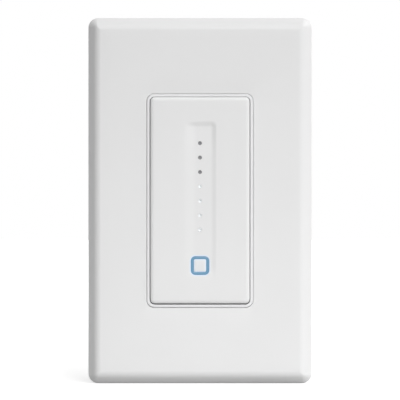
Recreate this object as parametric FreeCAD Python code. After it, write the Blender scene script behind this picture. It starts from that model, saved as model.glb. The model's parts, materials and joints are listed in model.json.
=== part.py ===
import FreeCAD, Part
import math
import os

# Smart dimmer switch for a single-gang wall box, under a snap-on screwless wall plate.
# Millimetres. X runs to the right and Z up as seen from the room, and Y runs into the wall.
# The wall surface is the plane y = 0. The origin is midway between the two box screws.

# Wall plate
PLATE_WIDTH = 69.85
PLATE_HEIGHT = 114.3
PLATE_DEPTH = 6.2
PLATE_WALL = 1.6
PLATE_SIDE = 2.2
PLATE_BEVEL = 2.65
PLATE_ROUND = 2.9
PLATE_CORNER = 2.6
OPENING_WIDTH = 33.3
PLATE_END_RAIL = 23.8
OPENING_CORNER = 2.4
OPENING_EDGE = 0.3
BARB_REACH = 0.4
BARB_LENGTH = 7.0
BARB_DEPTH = 0.7
BARB_LIP = 0.15
BARB_SIDE_Z = 31.0
BARB_END_X = 17.0

# Sub-plate that the wall plate snaps on
SNAP_GAP = 0.5
SUB_WALL = 1.2
SUB_OPENING_GAP = 0.15
SUB_BOSS_SIDE = 6.6

# Screws
SCREW_R = 1.75
SCREW_GAP = 0.05
SCREW_PITCH = 6.75
BOX_NECK_R = 1.45
BOX_SCREW_LENGTH = 24.0
BOX_HEAD_R = 3.35
BOX_HEAD_HEIGHT = 1.4
PLATE_SCREW_INSET = 4.1
PLATE_SCREW_LENGTH = 10.0
PLATE_HEAD_R = 2.8
PLATE_HEAD_HEIGHT = 1.1
DRIVE_SLOT = 0.9
DRIVE_DEPTH = 0.6

# Metal yoke with break-off fins and a folded heat-sink tab
YOKE_THICKNESS = 1.3
YOKE_END_GAP = 1.35
YOKE_EAR_WIDTH = 33.0
YOKE_SIDE_GAP = 2.625
YOKE_FIN_INSET = 4.0
YOKE_LOBE_WIDTH = 40.0
YOKE_LOBE_HEIGHT = 6.5
YOKE_FIN_CORNER = 2.0
YOKE_LOBE_CORNER = 3.0
SLOT_LENGTH = 9.0
SLOT_FLAT = 0.036
SCORE_INSET = 5.2
SCORE_WIDTH = 0.8
SCORE_DEPTH = 0.5
TAB_END_GAP = 4.0
TAB_HALF_HEIGHT = 12.0
EARTH_LUG_REACH = 10.0
EARTH_LUG_HEIGHT = 9.0
EARTH_LUG_CORNER = 2.5
EARTH_LUG_GAP = 1.0
EARTH_SCREW_R = 2.0
EARTH_SCREW_LENGTH = 5.0
EARTH_HEAD_R = 3.9
EARTH_HEAD_HEIGHT = 2.4
RETAINER_SIDE = 9.0
RETAINER_THICKNESS = 0.6
RETAINER_GAP = 0.1

# Bezel frame: flange on the yoke, collar in the plate's opening, tray behind the paddle
FLANGE_SIDE = 5.85
FLANGE_END = 1.65
FLANGE_THICKNESS = 1.3
COLLAR_GAP = 0.15
COLLAR_WALL = 0.85
COLLAR_PROUD = 0.3
COLLAR_EDGE = 0.12
TRAY_SIDE_LEDGE = 1.75
TRAY_END_LEDGE = 3.45
TRAY_WALL = 1.0
TRAY_FLOOR = 1.4
TRAY_GAP = 0.2
TRAY_HOLE = 4.0
CATCH_SIDE_INSET = 1.6
CATCH_END_INSET = 8.5
CATCH_WIDTH = 4.0
CATCH_THICKNESS = 1.0
CATCH_BARB = 0.7
CATCH_HEAD = 0.8
CATCH_SPRING = 0.8
CATCH_ROOT = 4.0
CATCH_GAP = 0.05
LUG_X = 9.0
LUG_WIDTH = 1.5

# Paddle and its slider groove
PADDLE_SIDE_GAP = 0.2
PADDLE_TOP_GAP = 0.2
PADDLE_FOOT_GAP = 0.35
PADDLE_PROUD = 0.9
PADDLE_WALL = 1.8
PADDLE_SKIRT = 1.2
PADDLE_CORNER = 1.4
PADDLE_EDGE = 0.7
PADDLE_TRAVEL = 1.0
TRAVEL_MARGIN = 0.3
PIVOT_R = 0.8
PIVOT_GAP = 0.05
PIVOT_WALL = 0.6
PIVOT_MOUTH = 1.3
PIVOT_INSET = 2.95
EAR_GAP = 0.3
GROOVE_WIDTH = 9.8
GROOVE_TOP_INSET = 7.05
GROOVE_FOOT_INSET = 5.2
GROOVE_SLOPE = 1.5
GROOVE_TOP_SLOPE = 1.4
GROOVE_FOOT_SLOPE = 3.4
GROOVE_EDGE = 1.2
GROOVE_DEPTH = 0.4
RIB_THICKNESS = 0.8
RIB_PITCH = 9.0
RIB_COUNT = 4
STAKE_SIDE = 1.0
POST_SIDE_INSET = 4.25
POST_INSET = 13.0
POST_SIDE = 2.4
POST_LENGTH = 2.2
ACTUATOR_INSET = 5.0
ACTUATOR_SIDE = 2.4
ACTUATOR_TIP_SIDE = 1.8
HOOK_X = 7.0
HOOK_WIDTH = 4.0
HOOK_THICKNESS = 1.0
HOOK_BARB = 0.7
HOOK_DEPTH = 0.9
HOOK_GAP = 0.15

# Light parts in the groove
DOT_COUNT = 7
DOT_R = 0.6
DOT_TOP_INSET = 7.2
DOT_RING_GAP = 8.2
RING_WIDTH = 5.7
RING_HEIGHT = 5.8
RING_STROKE = 0.9
RING_CORNER = 1.4
RING_INSET = 11.8
RING_FLANGE = 0.7
RING_FLANGE_THICKNESS = 0.4
LIGHT_GAP = 0.03
BAFFLE_WIDTH = 12.6
BAFFLE_THICKNESS = 1.0
BAFFLE_MARGIN = 3.0
BAFFLE_FOOT = 1.2
BAFFLE_CELL = 2.6
BAFFLE_WEB = 1.0
TOUCH_WIDTH = 16.0
TOUCH_THICKNESS = 0.8
TOUCH_MARGIN = 1.4
LED_WIDTH = 1.0
LED_HEIGHT = 1.6
LED_DEPTH = 0.5

# Bowed leaf spring between the tray's floor and the paddle's posts
SPRING_THICKNESS = 0.25
SPRING_WIDTH = 4.0
SPRING_FOOT = 8.0
SPRING_TIP = 2.0
SPRING_BEND = 1.5
SPRING_GAP = 0.05

# Flexible cable from the touch board to the control board
FLEX_WIDTH = 6.0
FLEX_THICKNESS = 0.25
FLEX_BEND = 2.4
FLEX_PAD = 4.0
FLEX_INSET = 5.55
FLEX_SOCKET_WIDTH = 8.4
FLEX_SOCKET_HEIGHT = 2.2
FLEX_SOCKET_DEPTH = 3.2
FLEX_GRIP = 1.0

# Control board, switch and radio
CONTROL_FRONT = 6.0
CONTROL_END_GAP = 3.2
CONTROL_THICKNESS = 1.2
SWITCH_WIDTH = 6.0
SWITCH_DEPTH = 5.6
SWITCH_HEIGHT = 3.4
SWITCH_FLOOR = 0.5
SWITCH_OFFSET = 1.0
PLUNGER_R = 1.6
PLUNGER_GAP = 0.06
PLUNGER_LENGTH = 4.2
RADIO_WIDTH = 15.0
RADIO_HEIGHT = 17.0
RADIO_BOARD = 0.8
RADIO_CAN = 2.2
RADIO_INSET = 20.5
RADIO_AERIAL = 6.0
RADIO_MARGIN = 0.75
PEG_SIDE = 1.8
PEG_SIDE_INSET = 1.5
PEG_END_INSET = 13.9
PEG_EDGE = 1.6

# Rear housing with wire terminals
HOUSING_SIDE_STEP = 0.5
HOUSING_END_STEP = 1.5
HOUSING_DEPTH = 31.0
HOUSING_WALL = 1.8
HOUSING_BACK = 2.0
HOUSING_DRAFT = 0.6
HOUSING_CORNER = 3.0
HOUSING_EDGE = 1.2
POCKET_Z = 20.0
POCKET_HEIGHT = 10.4
POCKET_INSET = 7.2
POCKET_LENGTH = 18.0
POCKET_WALL = 1.4
WIRE_HOLE_R = 1.6
WIRE_HOLE_OFFSET = 3.5
GAUGE_WIDTH = 2.4
GAUGE_LENGTH = 16.0
GAUGE_DEPTH = 0.8
SHELF_GAP = 0.8
SHELF_REACH = 3.0

# Wire terminals
TERMINAL_PLATE = 1.0
TERMINAL_HEIGHT = 9.4
TERMINAL_END_GAP = 2.0
CLAMP_THICKNESS = 1.1
CLAMP_SIDE = 8.0
WIRE_SPACE = 3.4
TERMINAL_HEAD_R = 3.8
TERMINAL_HEAD_HEIGHT = 1.6
TERMINAL_FOOT = 3.0
TERMINAL_FOOT_GAP = 0.1

# Power board and its components
POWER_SPACE = 5.0
POWER_THICKNESS = 1.6
POWER_GAP = 0.4
TRANSISTOR_WIDTH = 10.0
TRANSISTOR_TAB = 1.3
TRANSISTOR_TAB_LENGTH = 15.0
TRANSISTOR_BODY = 3.2
TRANSISTOR_BODY_LENGTH = 9.0
TRANSISTOR_PITCH = 11.4
TRANSISTOR_LEAD = 0.7
LEAD_PITCH = 2.54
TRANSISTOR_Y = 3.0
PAD_THICKNESS = 0.3
PAD_MARGIN = 1.0
CORE_SIDE = 13.0
CORE_GAP = 2.8
CORE_STEP = 1.5
CORE_X = -4.0
CORE_INSET = 11.9
WINDING_WIDTH = 8.0
WINDING_HEIGHT = 16.0
CHOKE_R = 5.0
CHOKE_HEIGHT = 9.0
CHOKE_X = -4.0
CHOKE_Z = -3.5
FILM_WIDTH = 10.0
FILM_DEPTH = 6.0
FILM_HEIGHT = 11.0
FILM_INSET = 6.7
HEADER_PINS = 6
HEADER_BODY = 2.5
HEADER_PIN = 0.6
HEADER_WIDTH = 2.4
HEADER_PITCH = 1.27
HEADER_SIDE_INSET = 5.0
HEADER_INSET = 4.9

# Planes and places worked out from the sizes above
YOKE_FRONT = -YOKE_THICKNESS
LEDGE = YOKE_FRONT - FLANGE_THICKNESS
PLATE_FACE = -PLATE_DEPTH
COLLAR_FACE = PLATE_FACE - COLLAR_PROUD
PADDLE_FACE = COLLAR_FACE - PADDLE_PROUD
PADDLE_BACK = PADDLE_FACE + PADDLE_WALL
GROOVE_FLOOR = PADDLE_FACE + GROOVE_DEPTH
SKIRT_END = LEDGE - PADDLE_TRAVEL - TRAVEL_MARGIN
TOUCH_FRONT = PADDLE_BACK + BAFFLE_THICKNESS
TOUCH_BACK = TOUCH_FRONT + TOUCH_THICKNESS
TRAY_BACK = TRAY_FLOOR + TRAY_WALL
CONTROL_BACK = CONTROL_FRONT + CONTROL_THICKNESS
RADIO_BACK = CONTROL_BACK + RADIO_BOARD + RADIO_CAN
SWITCH_TOP = CONTROL_FRONT - SWITCH_HEIGHT
POCKET_BACK = HOUSING_DEPTH - HOUSING_BACK
POCKET_FRONT = POCKET_BACK - POCKET_LENGTH
POWER_FRONT = POCKET_BACK - POWER_SPACE
POWER_BACK = POWER_FRONT + POWER_THICKNESS
TAB_REACH = POWER_FRONT - TAB_END_GAP
CORE_FRONT = RADIO_BACK + CORE_GAP
TERMINAL_Y = (POCKET_FRONT + POCKET_BACK) / 2
TERMINAL_LENGTH = POCKET_LENGTH - 2 * TERMINAL_END_GAP
PIVOT_Y = LEDGE - PIVOT_R - PIVOT_GAP - PIVOT_WALL
PLUNGER_FOOT = CONTROL_FRONT - SWITCH_FLOOR - PADDLE_TRAVEL - TRAVEL_MARGIN
PLUNGER_TOP = PLUNGER_FOOT - PLUNGER_LENGTH
ACTUATOR_TIP = PLUNGER_TOP - PLUNGER_GAP
HOOK_TOP = YOKE_FRONT + HOOK_GAP
SPRING_TIP_FACE = PADDLE_BACK + POST_LENGTH + SPRING_GAP
SUB_FRONT = PLATE_FACE + PLATE_WALL + SNAP_GAP
SUB_BACK = SUB_FRONT + SUB_WALL

OPENING_HEIGHT = PLATE_HEIGHT - 2 * PLATE_END_RAIL
COLLAR_WIDTH = OPENING_WIDTH - 2 * COLLAR_GAP
COLLAR_HEIGHT = OPENING_HEIGHT - 2 * COLLAR_GAP
WELL_WIDTH = COLLAR_WIDTH - 2 * COLLAR_WALL
WELL_HEIGHT = COLLAR_HEIGHT - 2 * COLLAR_WALL
TRAY_WIDTH = WELL_WIDTH - 2 * TRAY_SIDE_LEDGE
TRAY_HEIGHT = WELL_HEIGHT - 2 * TRAY_END_LEDGE
TRAY_END = -TRAY_HEIGHT / 2
FLANGE_WIDTH = OPENING_WIDTH + 2 * FLANGE_SIDE
FLANGE_HEIGHT = OPENING_HEIGHT + 2 * FLANGE_END
SUB_OUTER = PLATE_WALL + SNAP_GAP + SUB_WALL
YOKE_HEIGHT = PLATE_HEIGHT - 2 * (SUB_OUTER + YOKE_END_GAP)
YOKE_FIN_WIDTH = PLATE_WIDTH - 2 * (SUB_OUTER + YOKE_SIDE_GAP)
YOKE_FIN_HEIGHT = FLANGE_HEIGHT - 2 * YOKE_FIN_INSET
PLATE_SCREW_Z = YOKE_HEIGHT / 2 - PLATE_SCREW_INSET
BOX_SCREW_Z = PLATE_SCREW_Z - SCREW_PITCH
HOUSING_WIDTH = FLANGE_WIDTH - 2 * HOUSING_SIDE_STEP
HOUSING_HEIGHT = FLANGE_HEIGHT - 2 * HOUSING_END_STEP
CAVITY_WIDTH = HOUSING_WIDTH - 2 * HOUSING_WALL
CAVITY_HEIGHT = HOUSING_HEIGHT - 2 * HOUSING_WALL
EARTH_FACE = -YOKE_EAR_WIDTH / 2
EARTH_LUG_Z = -HOUSING_HEIGHT / 2 - EARTH_LUG_GAP - EARTH_LUG_HEIGHT / 2
CATCH_X = HOUSING_WIDTH / 2 - CATCH_SIDE_INSET
CATCH_Z = HOUSING_HEIGHT / 2 - CATCH_END_INSET

PADDLE_WIDTH = WELL_WIDTH - 2 * PADDLE_SIDE_GAP
PADDLE_TOP = WELL_HEIGHT / 2 - PADDLE_TOP_GAP
PADDLE_FOOT = PADDLE_FOOT_GAP - WELL_HEIGHT / 2
PADDLE_HEIGHT = PADDLE_TOP - PADDLE_FOOT
PADDLE_Z = (PADDLE_TOP + PADDLE_FOOT) / 2
PIVOT_Z = PADDLE_TOP - PIVOT_INSET
GROOVE_TOP = PADDLE_TOP - GROOVE_TOP_INSET
GROOVE_FOOT = PADDLE_FOOT + GROOVE_FOOT_INSET
POST_X = PADDLE_WIDTH / 2 - POST_SIDE_INSET
POST_Z = PADDLE_FOOT + POST_INSET
ACTUATOR_Z = PADDLE_FOOT + ACTUATOR_INSET
RING_Z = PADDLE_FOOT + RING_INSET
DOT_TOP = GROOVE_TOP - DOT_TOP_INSET
DOT_FOOT = RING_Z + RING_HEIGHT / 2 + DOT_RING_GAP
DOT_PITCH = (DOT_TOP - DOT_FOOT) / (DOT_COUNT - 1)
DOT_PLACES = [DOT_FOOT + DOT_PITCH * i for i in range(DOT_COUNT)]
FLEX_Z = PADDLE_TOP - FLEX_INSET
TOUCH_TOP = FLEX_Z - FLEX_BEND - TOUCH_MARGIN / 2
TOUCH_FOOT = ACTUATOR_Z + ACTUATOR_SIDE / 2 + TOUCH_MARGIN / 2
TOUCH_HEIGHT = TOUCH_TOP - TOUCH_FOOT
TOUCH_MIDDLE = (TOUCH_TOP + TOUCH_FOOT) / 2
STAKE_PLACES = [
    (side * (TOUCH_WIDTH / 2 - TOUCH_MARGIN / 2), TOUCH_MIDDLE + end * (TOUCH_HEIGHT / 2 - TOUCH_MARGIN))
    for side in (-1, 1)
    for end in (-1, 1)
]

PEG_X = TRAY_WIDTH / 2 - PEG_SIDE_INSET
PEG_Z = TRAY_HEIGHT / 2 - PEG_END_INSET
CONTROL_WIDTH = 2 * (PEG_X + PEG_EDGE)
CONTROL_HEIGHT = CAVITY_HEIGHT - 2 * CONTROL_END_GAP
RADIO_Z = CONTROL_HEIGHT / 2 - RADIO_INSET
SINK_X = HOUSING_WIDTH / 2 - HOUSING_WALL - HOUSING_DRAFT - YOKE_THICKNESS
POCKET_FLOOR = HOUSING_WIDTH / 2 - POCKET_INSET
CLAMP_X = POCKET_FLOOR + TERMINAL_PLATE + WIRE_SPACE
POWER_REACH = POCKET_FLOOR - POCKET_WALL - POWER_GAP
POWER_END = CONTROL_HEIGHT / 2 + POWER_GAP
CORE_Z = POWER_END - CORE_INSET
FILM_Z = FILM_INSET - POWER_END
HEADER_X = POWER_REACH - HEADER_SIDE_INSET
HEADER_Z = HEADER_INSET - POWER_END
CATCH_PLACES = [(side, end * CATCH_Z) for side in (-1, 1) for end in (-1, 1)]
TERMINAL_PLACES = [(side, end) for side in (-1, 1) for end in (-1, 1)]


def outline(corners, lift):
    """Closed wire through (a, b, radius) corners, each rounded by a tangent arc."""
    points = [FreeCAD.Vector(a, b, 0) for a, b, radius in corners]
    bends = []
    for index, corner in enumerate(points):
        radius = corners[index][2]
        inward = (points[index - 1] - corner).normalize()
        onward = (points[(index + 1) % len(points)] - corner).normalize()
        half = inward.getAngle(onward) / 2
        reach = radius / math.tan(half)
        middle = (inward + onward).normalize() * (radius / math.sin(half) - radius)
        bends.append((corner + inward * reach, corner + middle, corner + onward * reach, radius))
    edges = []
    for index, (start, middle, end, radius) in enumerate(bends):
        if radius > 0:
            edges.append(Part.Arc(lift(start), lift(middle), lift(end)).toShape())
        following = bends[(index + 1) % len(bends)][0]
        if end.distanceToPoint(following) > 1e-6:
            edges.append(Part.LineSegment(lift(end), lift(following)).toShape())
    return Part.Wire(edges)


def rectangle(width, height, radius=0, x=0, z=0):
    """Corners of a rounded rectangle about (x, z)."""
    half_width = width / 2
    half_height = height / 2
    signs = ((-1, -1), (1, -1), (1, 1), (-1, 1))
    return [(x + a * half_width, z + b * half_height, radius) for a, b in signs]


def wire_at(corners, y):
    """Outline in the XZ plane at depth y."""
    return outline(corners, lambda p: FreeCAD.Vector(p.x, y, p.y))


def pad(corners, front, back):
    """Outline in the XZ plane, made solid from front to back."""
    return Part.Face(wire_at(corners, front)).extrude(FreeCAD.Vector(0, back - front, 0))


def pad_along_x(corners, left, right):
    """Outline of (y, z) corners, made solid from left to right."""
    wire = outline(corners, lambda p: FreeCAD.Vector(left, p.x, p.y))
    return Part.Face(wire).extrude(FreeCAD.Vector(right - left, 0, 0))


def pad_along_z(corners, low, high):
    """Outline of (x, y) corners, made solid from low to high."""
    wire = outline(corners, lambda p: FreeCAD.Vector(p.x, p.y, low))
    return Part.Face(wire).extrude(FreeCAD.Vector(0, 0, high - low))


def slab(width, height, front, back, radius=0, x=0, z=0):
    """Rounded rectangular block between two depths."""
    return pad(rectangle(width, height, radius, x, z), front, back)


def block(x, y, z):
    """Plain block between the (low, high) pairs x, y and z."""
    corner = FreeCAD.Vector(x[0], y[0], z[0])
    return Part.makeBox(x[1] - x[0], y[1] - y[0], z[1] - z[0], corner)


def disc(radius, front, back, x=0, z=0):
    """Cylinder along Y."""
    return Part.makeCylinder(radius, back - front, FreeCAD.Vector(x, front, z), FreeCAD.Vector(0, 1, 0))


def rod(radius, left, right, y, z):
    """Cylinder along X."""
    return Part.makeCylinder(radius, right - left, FreeCAD.Vector(left, y, z), FreeCAD.Vector(1, 0, 0))


def hexagon(radius, left, right, y, z):
    """Six-sided head along X, measured across its corners."""
    turns = [math.radians(60 * step) for step in range(6)]
    corners = [(y + radius * math.cos(turn), z + radius * math.sin(turn), 0) for turn in turns]
    return pad_along_x(corners, left, right)


def taper(front_size, back_size, front, back, x=0, z=0):
    """Straight-sided block whose (width, height) changes from front to back."""
    (wide, tall), (back_wide, back_tall) = front_size, back_size
    low = z - max(tall, back_tall)
    high = z + max(tall, back_tall)
    left = x - max(wide, back_wide)
    right = x + max(wide, back_wide)
    across = pad_along_z([(x - wide / 2, front, 0), (x + wide / 2, front, 0),
                          (x + back_wide / 2, back, 0), (x - back_wide / 2, back, 0)], low, high)
    upright = pad_along_x([(front, z - tall / 2, 0), (front, z + tall / 2, 0),
                           (back, z + back_tall / 2, 0), (back, z - back_tall / 2, 0)], left, right)
    return across.common(upright)


def fused(shapes):
    """One solid from shapes that touch or cross."""
    return shapes[0].multiFuse(shapes[1:]).removeSplitter()


def edges_at_depth(shape, y, reach_x=math.inf, reach_z=math.inf):
    """Edges of a shape that lie at depth y, within reach of the middle."""
    chosen = []
    for edge in shape.Edges:
        box = edge.BoundBox
        flat = abs(box.YMin - y) < 1e-4 and abs(box.YMax - y) < 1e-4
        near_x = max(abs(box.XMin), abs(box.XMax)) < reach_x
        near_z = max(abs(box.ZMin), abs(box.ZMax)) < reach_z
        if flat and near_x and near_z:
            chosen.append(edge)
    return chosen


def mirrored(shape):
    """The same shape on the other side of the middle plane x = 0."""
    return shape.mirror(FreeCAD.Vector(0, 0, 0), FreeCAD.Vector(1, 0, 0))


def soft_slab(width, height, front, back, corner, edge, z=0):
    """Rounded block with a rounded front edge that meets in soft hips at the corners."""
    x = width / 2
    low = z - height / 2
    high = z + height / 2
    across = pad_along_z([(-x, back, 0), (-x, front, edge), (x, front, edge), (x, back, 0)], low, high)
    upright = pad_along_x([(back, low, 0), (front, low, edge), (front, high, edge), (back, high, 0)], -x, x)
    return across.common(upright).common(slab(width, height, front, back, corner, 0, z))


def screw_along_y(x, z, face, length, radius, head_r, head_height):
    """Slotted screw along Y with its head's top at the face."""
    head = disc(head_r, face, face + head_height, x, z)
    shank = disc(radius, face + head_height, face + length, x, z)
    half = DRIVE_SLOT / 2
    slot = block((x - half, x + half), (face - 1, face + DRIVE_DEPTH), (z - head_r, z + head_r))
    return fused([head, shank]).cut(slot)


def plate_form(inset):
    """Solid with the wall plate's straight sides, bevels and soft face, inset all round."""
    angle = math.atan2(PLATE_DEPTH - PLATE_SIDE, PLATE_BEVEL)
    side = PLATE_SIDE - inset * math.tan((math.pi / 2 - angle) / 2)
    bevel = PLATE_BEVEL + inset * math.tan(angle / 2) - inset
    depth = PLATE_DEPTH - inset
    round_r = max(PLATE_ROUND - inset, 0.2)
    corner = max(PLATE_CORNER - inset, 0.6)
    half_width = PLATE_WIDTH / 2 - inset
    half_height = PLATE_HEIGHT / 2 - inset

    def section(half):
        ends = [(half, 0, 0), (half, -side, 0), (half - bevel, -depth, round_r)]
        return ends + [(-a, b, radius) for a, b, radius in reversed(ends)]

    across = pad_along_z(section(half_width), -half_height, half_height)
    upright = pad_along_x([(b, a, radius) for a, b, radius in section(half_height)], -half_width, half_width)
    rounded = slab(2 * half_width, 2 * half_height, -depth, 0, corner)
    return across.common(upright).common(rounded)


def barb_places():
    """Places (x, z, along_z) of the snap barbs round the plate's inner wall."""
    half_width = PLATE_WIDTH / 2 - PLATE_WALL
    half_height = PLATE_HEIGHT / 2 - PLATE_WALL
    sides = [(x * half_width, z * BARB_SIDE_Z, True) for x in (-1, 1) for z in (-1, 1)]
    ends = [(x * BARB_END_X, z * half_height, False) for x in (-1, 1) for z in (-1, 1)]
    return sides + ends


def barb(x, z, along_z, reach, depth, length):
    """Block on the plate's inner wall that reaches inwards."""
    half = length / 2
    root = PLATE_WALL / 2
    if along_z:
        inner, outer = sorted((x - math.copysign(reach, x), x + math.copysign(root, x)))
        return block((inner, outer), (-depth, -BARB_LIP), (z - half, z + half))
    inner, outer = sorted((z - math.copysign(reach, z), z + math.copysign(root, z)))
    return block((x - half, x + half), (-depth, -BARB_LIP), (inner, outer))


def make_wall_plate():
    """Snap-on screwless cover with a bevelled rim and one rounded opening."""
    opening = slab(OPENING_WIDTH, OPENING_HEIGHT, PLATE_FACE - 1, 1, OPENING_CORNER)
    plate = plate_form(0).cut(plate_form(PLATE_WALL)).cut(opening)
    rim = edges_at_depth(plate, PLATE_FACE, OPENING_WIDTH / 2 + 0.1, OPENING_HEIGHT / 2 + 0.1)
    plate = plate.makeChamfer(OPENING_EDGE, rim)
    barbs = [barb(x, z, along, BARB_REACH, BARB_DEPTH, BARB_LENGTH) for x, z, along in barb_places()]
    return fused([plate] + barbs)


def make_sub_plate():
    """Adapter frame screwed to the yoke, with notches for the wall plate's barbs."""
    inset = PLATE_WALL + SNAP_GAP
    frame = plate_form(inset).cut(plate_form(inset + SUB_WALL))
    bosses = []
    width = COLLAR_WIDTH + 2 * (COLLAR_GAP + SUB_OPENING_GAP)
    height = COLLAR_HEIGHT + 2 * (COLLAR_GAP + SUB_OPENING_GAP)
    cuts = [slab(width, height, SUB_FRONT - 1, 1)]
    for z in (-PLATE_SCREW_Z, PLATE_SCREW_Z):
        bosses.append(slab(SUB_BOSS_SIDE, SUB_BOSS_SIDE, SUB_BACK, YOKE_FRONT, 0, 0, z))
        cuts.append(disc(SCREW_R + SCREW_GAP, SUB_FRONT - 1, 1, 0, z))
        cuts.append(disc(PLATE_HEAD_R + SCREW_GAP, SUB_FRONT - 1, SUB_FRONT + PLATE_HEAD_HEIGHT, 0, z))
    for x, z, along in barb_places():
        notch = barb(x, z, along, SNAP_GAP + SUB_WALL + 1, BARB_DEPTH + SNAP_GAP / 2, BARB_LENGTH + 1)
        cuts.append(notch.fuse(notch.translated(FreeCAD.Vector(0, BARB_LIP, 0))))
    return fused([frame] + bosses).cut(cuts)


def make_sub_plate_screws():
    """Two screws that hold the sub-plate to the yoke, sunk in its bosses."""
    return [screw_along_y(0, z, SUB_FRONT, PLATE_SCREW_LENGTH, SCREW_R, PLATE_HEAD_R, PLATE_HEAD_HEIGHT)
            for z in (-PLATE_SCREW_Z, PLATE_SCREW_Z)]


def make_box_screws():
    """Two captive screws that hold the switch to the wall box, with a relieved neck in the yoke."""
    screws = []
    for z in (-BOX_SCREW_Z, BOX_SCREW_Z):
        head = screw_along_y(0, z, YOKE_FRONT - BOX_HEAD_HEIGHT, BOX_HEAD_HEIGHT + YOKE_THICKNESS,
                             BOX_NECK_R, BOX_HEAD_R, BOX_HEAD_HEIGHT)
        screws.append(fused([head, disc(SCREW_R, 0, BOX_SCREW_LENGTH + YOKE_FRONT, 0, z)]))
    return screws


def make_screw_retainers():
    """Two fibre squares, flush in the yoke's back, that keep the box screws in their slots."""
    squares = []
    for z in (-BOX_SCREW_Z, BOX_SCREW_Z):
        square = slab(RETAINER_SIDE, RETAINER_SIDE, -RETAINER_THICKNESS, 0, 0, 0, z)
        squares.append(square.cut(disc(BOX_NECK_R + SCREW_GAP, -RETAINER_THICKNESS - 1, 1, 0, z)))
    return squares


def yoke_outline():
    """Corners of the yoke: finned middle, ears and break-off lobes."""
    fin_x = YOKE_FIN_WIDTH / 2
    fin_z = YOKE_FIN_HEIGHT / 2
    ear_x = YOKE_EAR_WIDTH / 2
    lobe_x = YOKE_LOBE_WIDTH / 2
    end_z = YOKE_HEIGHT / 2
    neck_z = end_z - YOKE_LOBE_HEIGHT
    quarter = [
        (fin_x, fin_z, YOKE_FIN_CORNER),
        (ear_x, fin_z, 0),
        (ear_x, neck_z, 0),
        (lobe_x, neck_z, 0),
        (lobe_x, end_z, YOKE_LOBE_CORNER),
    ]
    right = quarter + [(-a, b, radius) for a, b, radius in reversed(quarter)]
    return right + [(-a, -b, radius) for a, b, radius in right]


def catch_slot(side, z, front, back):
    """Slot for one of the housing's catches, with room for it to spring outwards."""
    near = CATCH_X - CATCH_THICKNESS / 2 - CATCH_GAP
    far = CATCH_X + CATCH_THICKNESS / 2 + CATCH_SPRING
    half = CATCH_WIDTH / 2 + CATCH_GAP
    return block(sorted((side * near, side * far)), (front, back), (z - half, z + half))


def catch_recess(side, z):
    """Step in the flange's front that the catch's barb grips."""
    near = CATCH_X - CATCH_THICKNESS / 2 - CATCH_BARB - CATCH_GAP
    half = CATCH_WIDTH / 2 + CATCH_GAP
    return block(sorted((side * near, side * CATCH_X)), (LEDGE - 1, LEDGE + CATCH_HEAD), (z - half, z + half))


def catch(side, z):
    """Springy leg of the rear housing with a barb over the flange."""
    near = CATCH_X - CATCH_THICKNESS / 2
    far = CATCH_X + CATCH_THICKNESS / 2
    across = (z - CATCH_WIDTH / 2, z + CATCH_WIDTH / 2)
    leg = block(sorted((side * near, side * far)), (LEDGE, CATCH_ROOT), across)
    barb_tip = sorted((side * (near - CATCH_BARB), side * CATCH_X))
    return leg.fuse(block(barb_tip, (LEDGE, LEDGE + CATCH_HEAD), across))


def make_yoke():
    """Stamped strap with screw slots, tapped holes, scored fins and folded tabs."""
    sheet = pad(yoke_outline(), YOKE_FRONT, 0)
    opening_width = TRAY_WIDTH + 2 * (TRAY_WALL + TRAY_GAP)
    opening_height = TRAY_HEIGHT + 2 * (TRAY_WALL + TRAY_GAP)
    cuts = [slab(opening_width, opening_height, YOKE_FRONT - 1, 1)]
    slot_height = 2 * (SCREW_R + SCREW_GAP)
    slot_end = slot_height / 2 - SLOT_FLAT
    seat = RETAINER_SIDE + 2 * RETAINER_GAP
    for end in (-1, 1):
        cuts.append(slab(seat, seat, -RETAINER_THICKNESS, 1, 0, 0, end * BOX_SCREW_Z))
        cuts.append(slab(SLOT_LENGTH, slot_height, YOKE_FRONT - 1, 1, slot_end, 0, end * BOX_SCREW_Z))
        cuts.append(disc(SCREW_R + SCREW_GAP, YOKE_FRONT - 1, 1, 0, end * PLATE_SCREW_Z))
        score_x = end * (YOKE_FIN_WIDTH / 2 - SCORE_INSET)
        cuts.append(block((score_x - SCORE_WIDTH / 2, score_x + SCORE_WIDTH / 2),
                          (YOKE_FRONT - 1, YOKE_FRONT + SCORE_DEPTH), (-YOKE_FIN_HEIGHT, YOKE_FIN_HEIGHT)))
    cuts += [catch_slot(side, z, YOKE_FRONT - 1, 1) for side, z in CATCH_PLACES]
    sheet = sheet.cut(cuts)
    sink = block((SINK_X, SINK_X + YOKE_THICKNESS), (YOKE_FRONT / 2, TAB_REACH),
                 (-TAB_HALF_HEIGHT, TAB_HALF_HEIGHT))
    low = EARTH_LUG_Z - EARTH_LUG_HEIGHT / 2
    high = EARTH_LUG_Z + EARTH_LUG_HEIGHT / 2
    round_end = [(YOKE_FRONT / 2, low, 0), (EARTH_LUG_REACH, low, EARTH_LUG_CORNER),
                 (EARTH_LUG_REACH, high, EARTH_LUG_CORNER), (YOKE_FRONT / 2, high, 0)]
    lug = pad_along_x(round_end, EARTH_FACE, EARTH_FACE + YOKE_THICKNESS)
    lug = lug.cut(rod(EARTH_SCREW_R + SCREW_GAP, EARTH_FACE - 1, EARTH_FACE + YOKE_THICKNESS + 1,
                      EARTH_LUG_REACH / 2, EARTH_LUG_Z))
    return fused([sheet, sink, lug])


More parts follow.
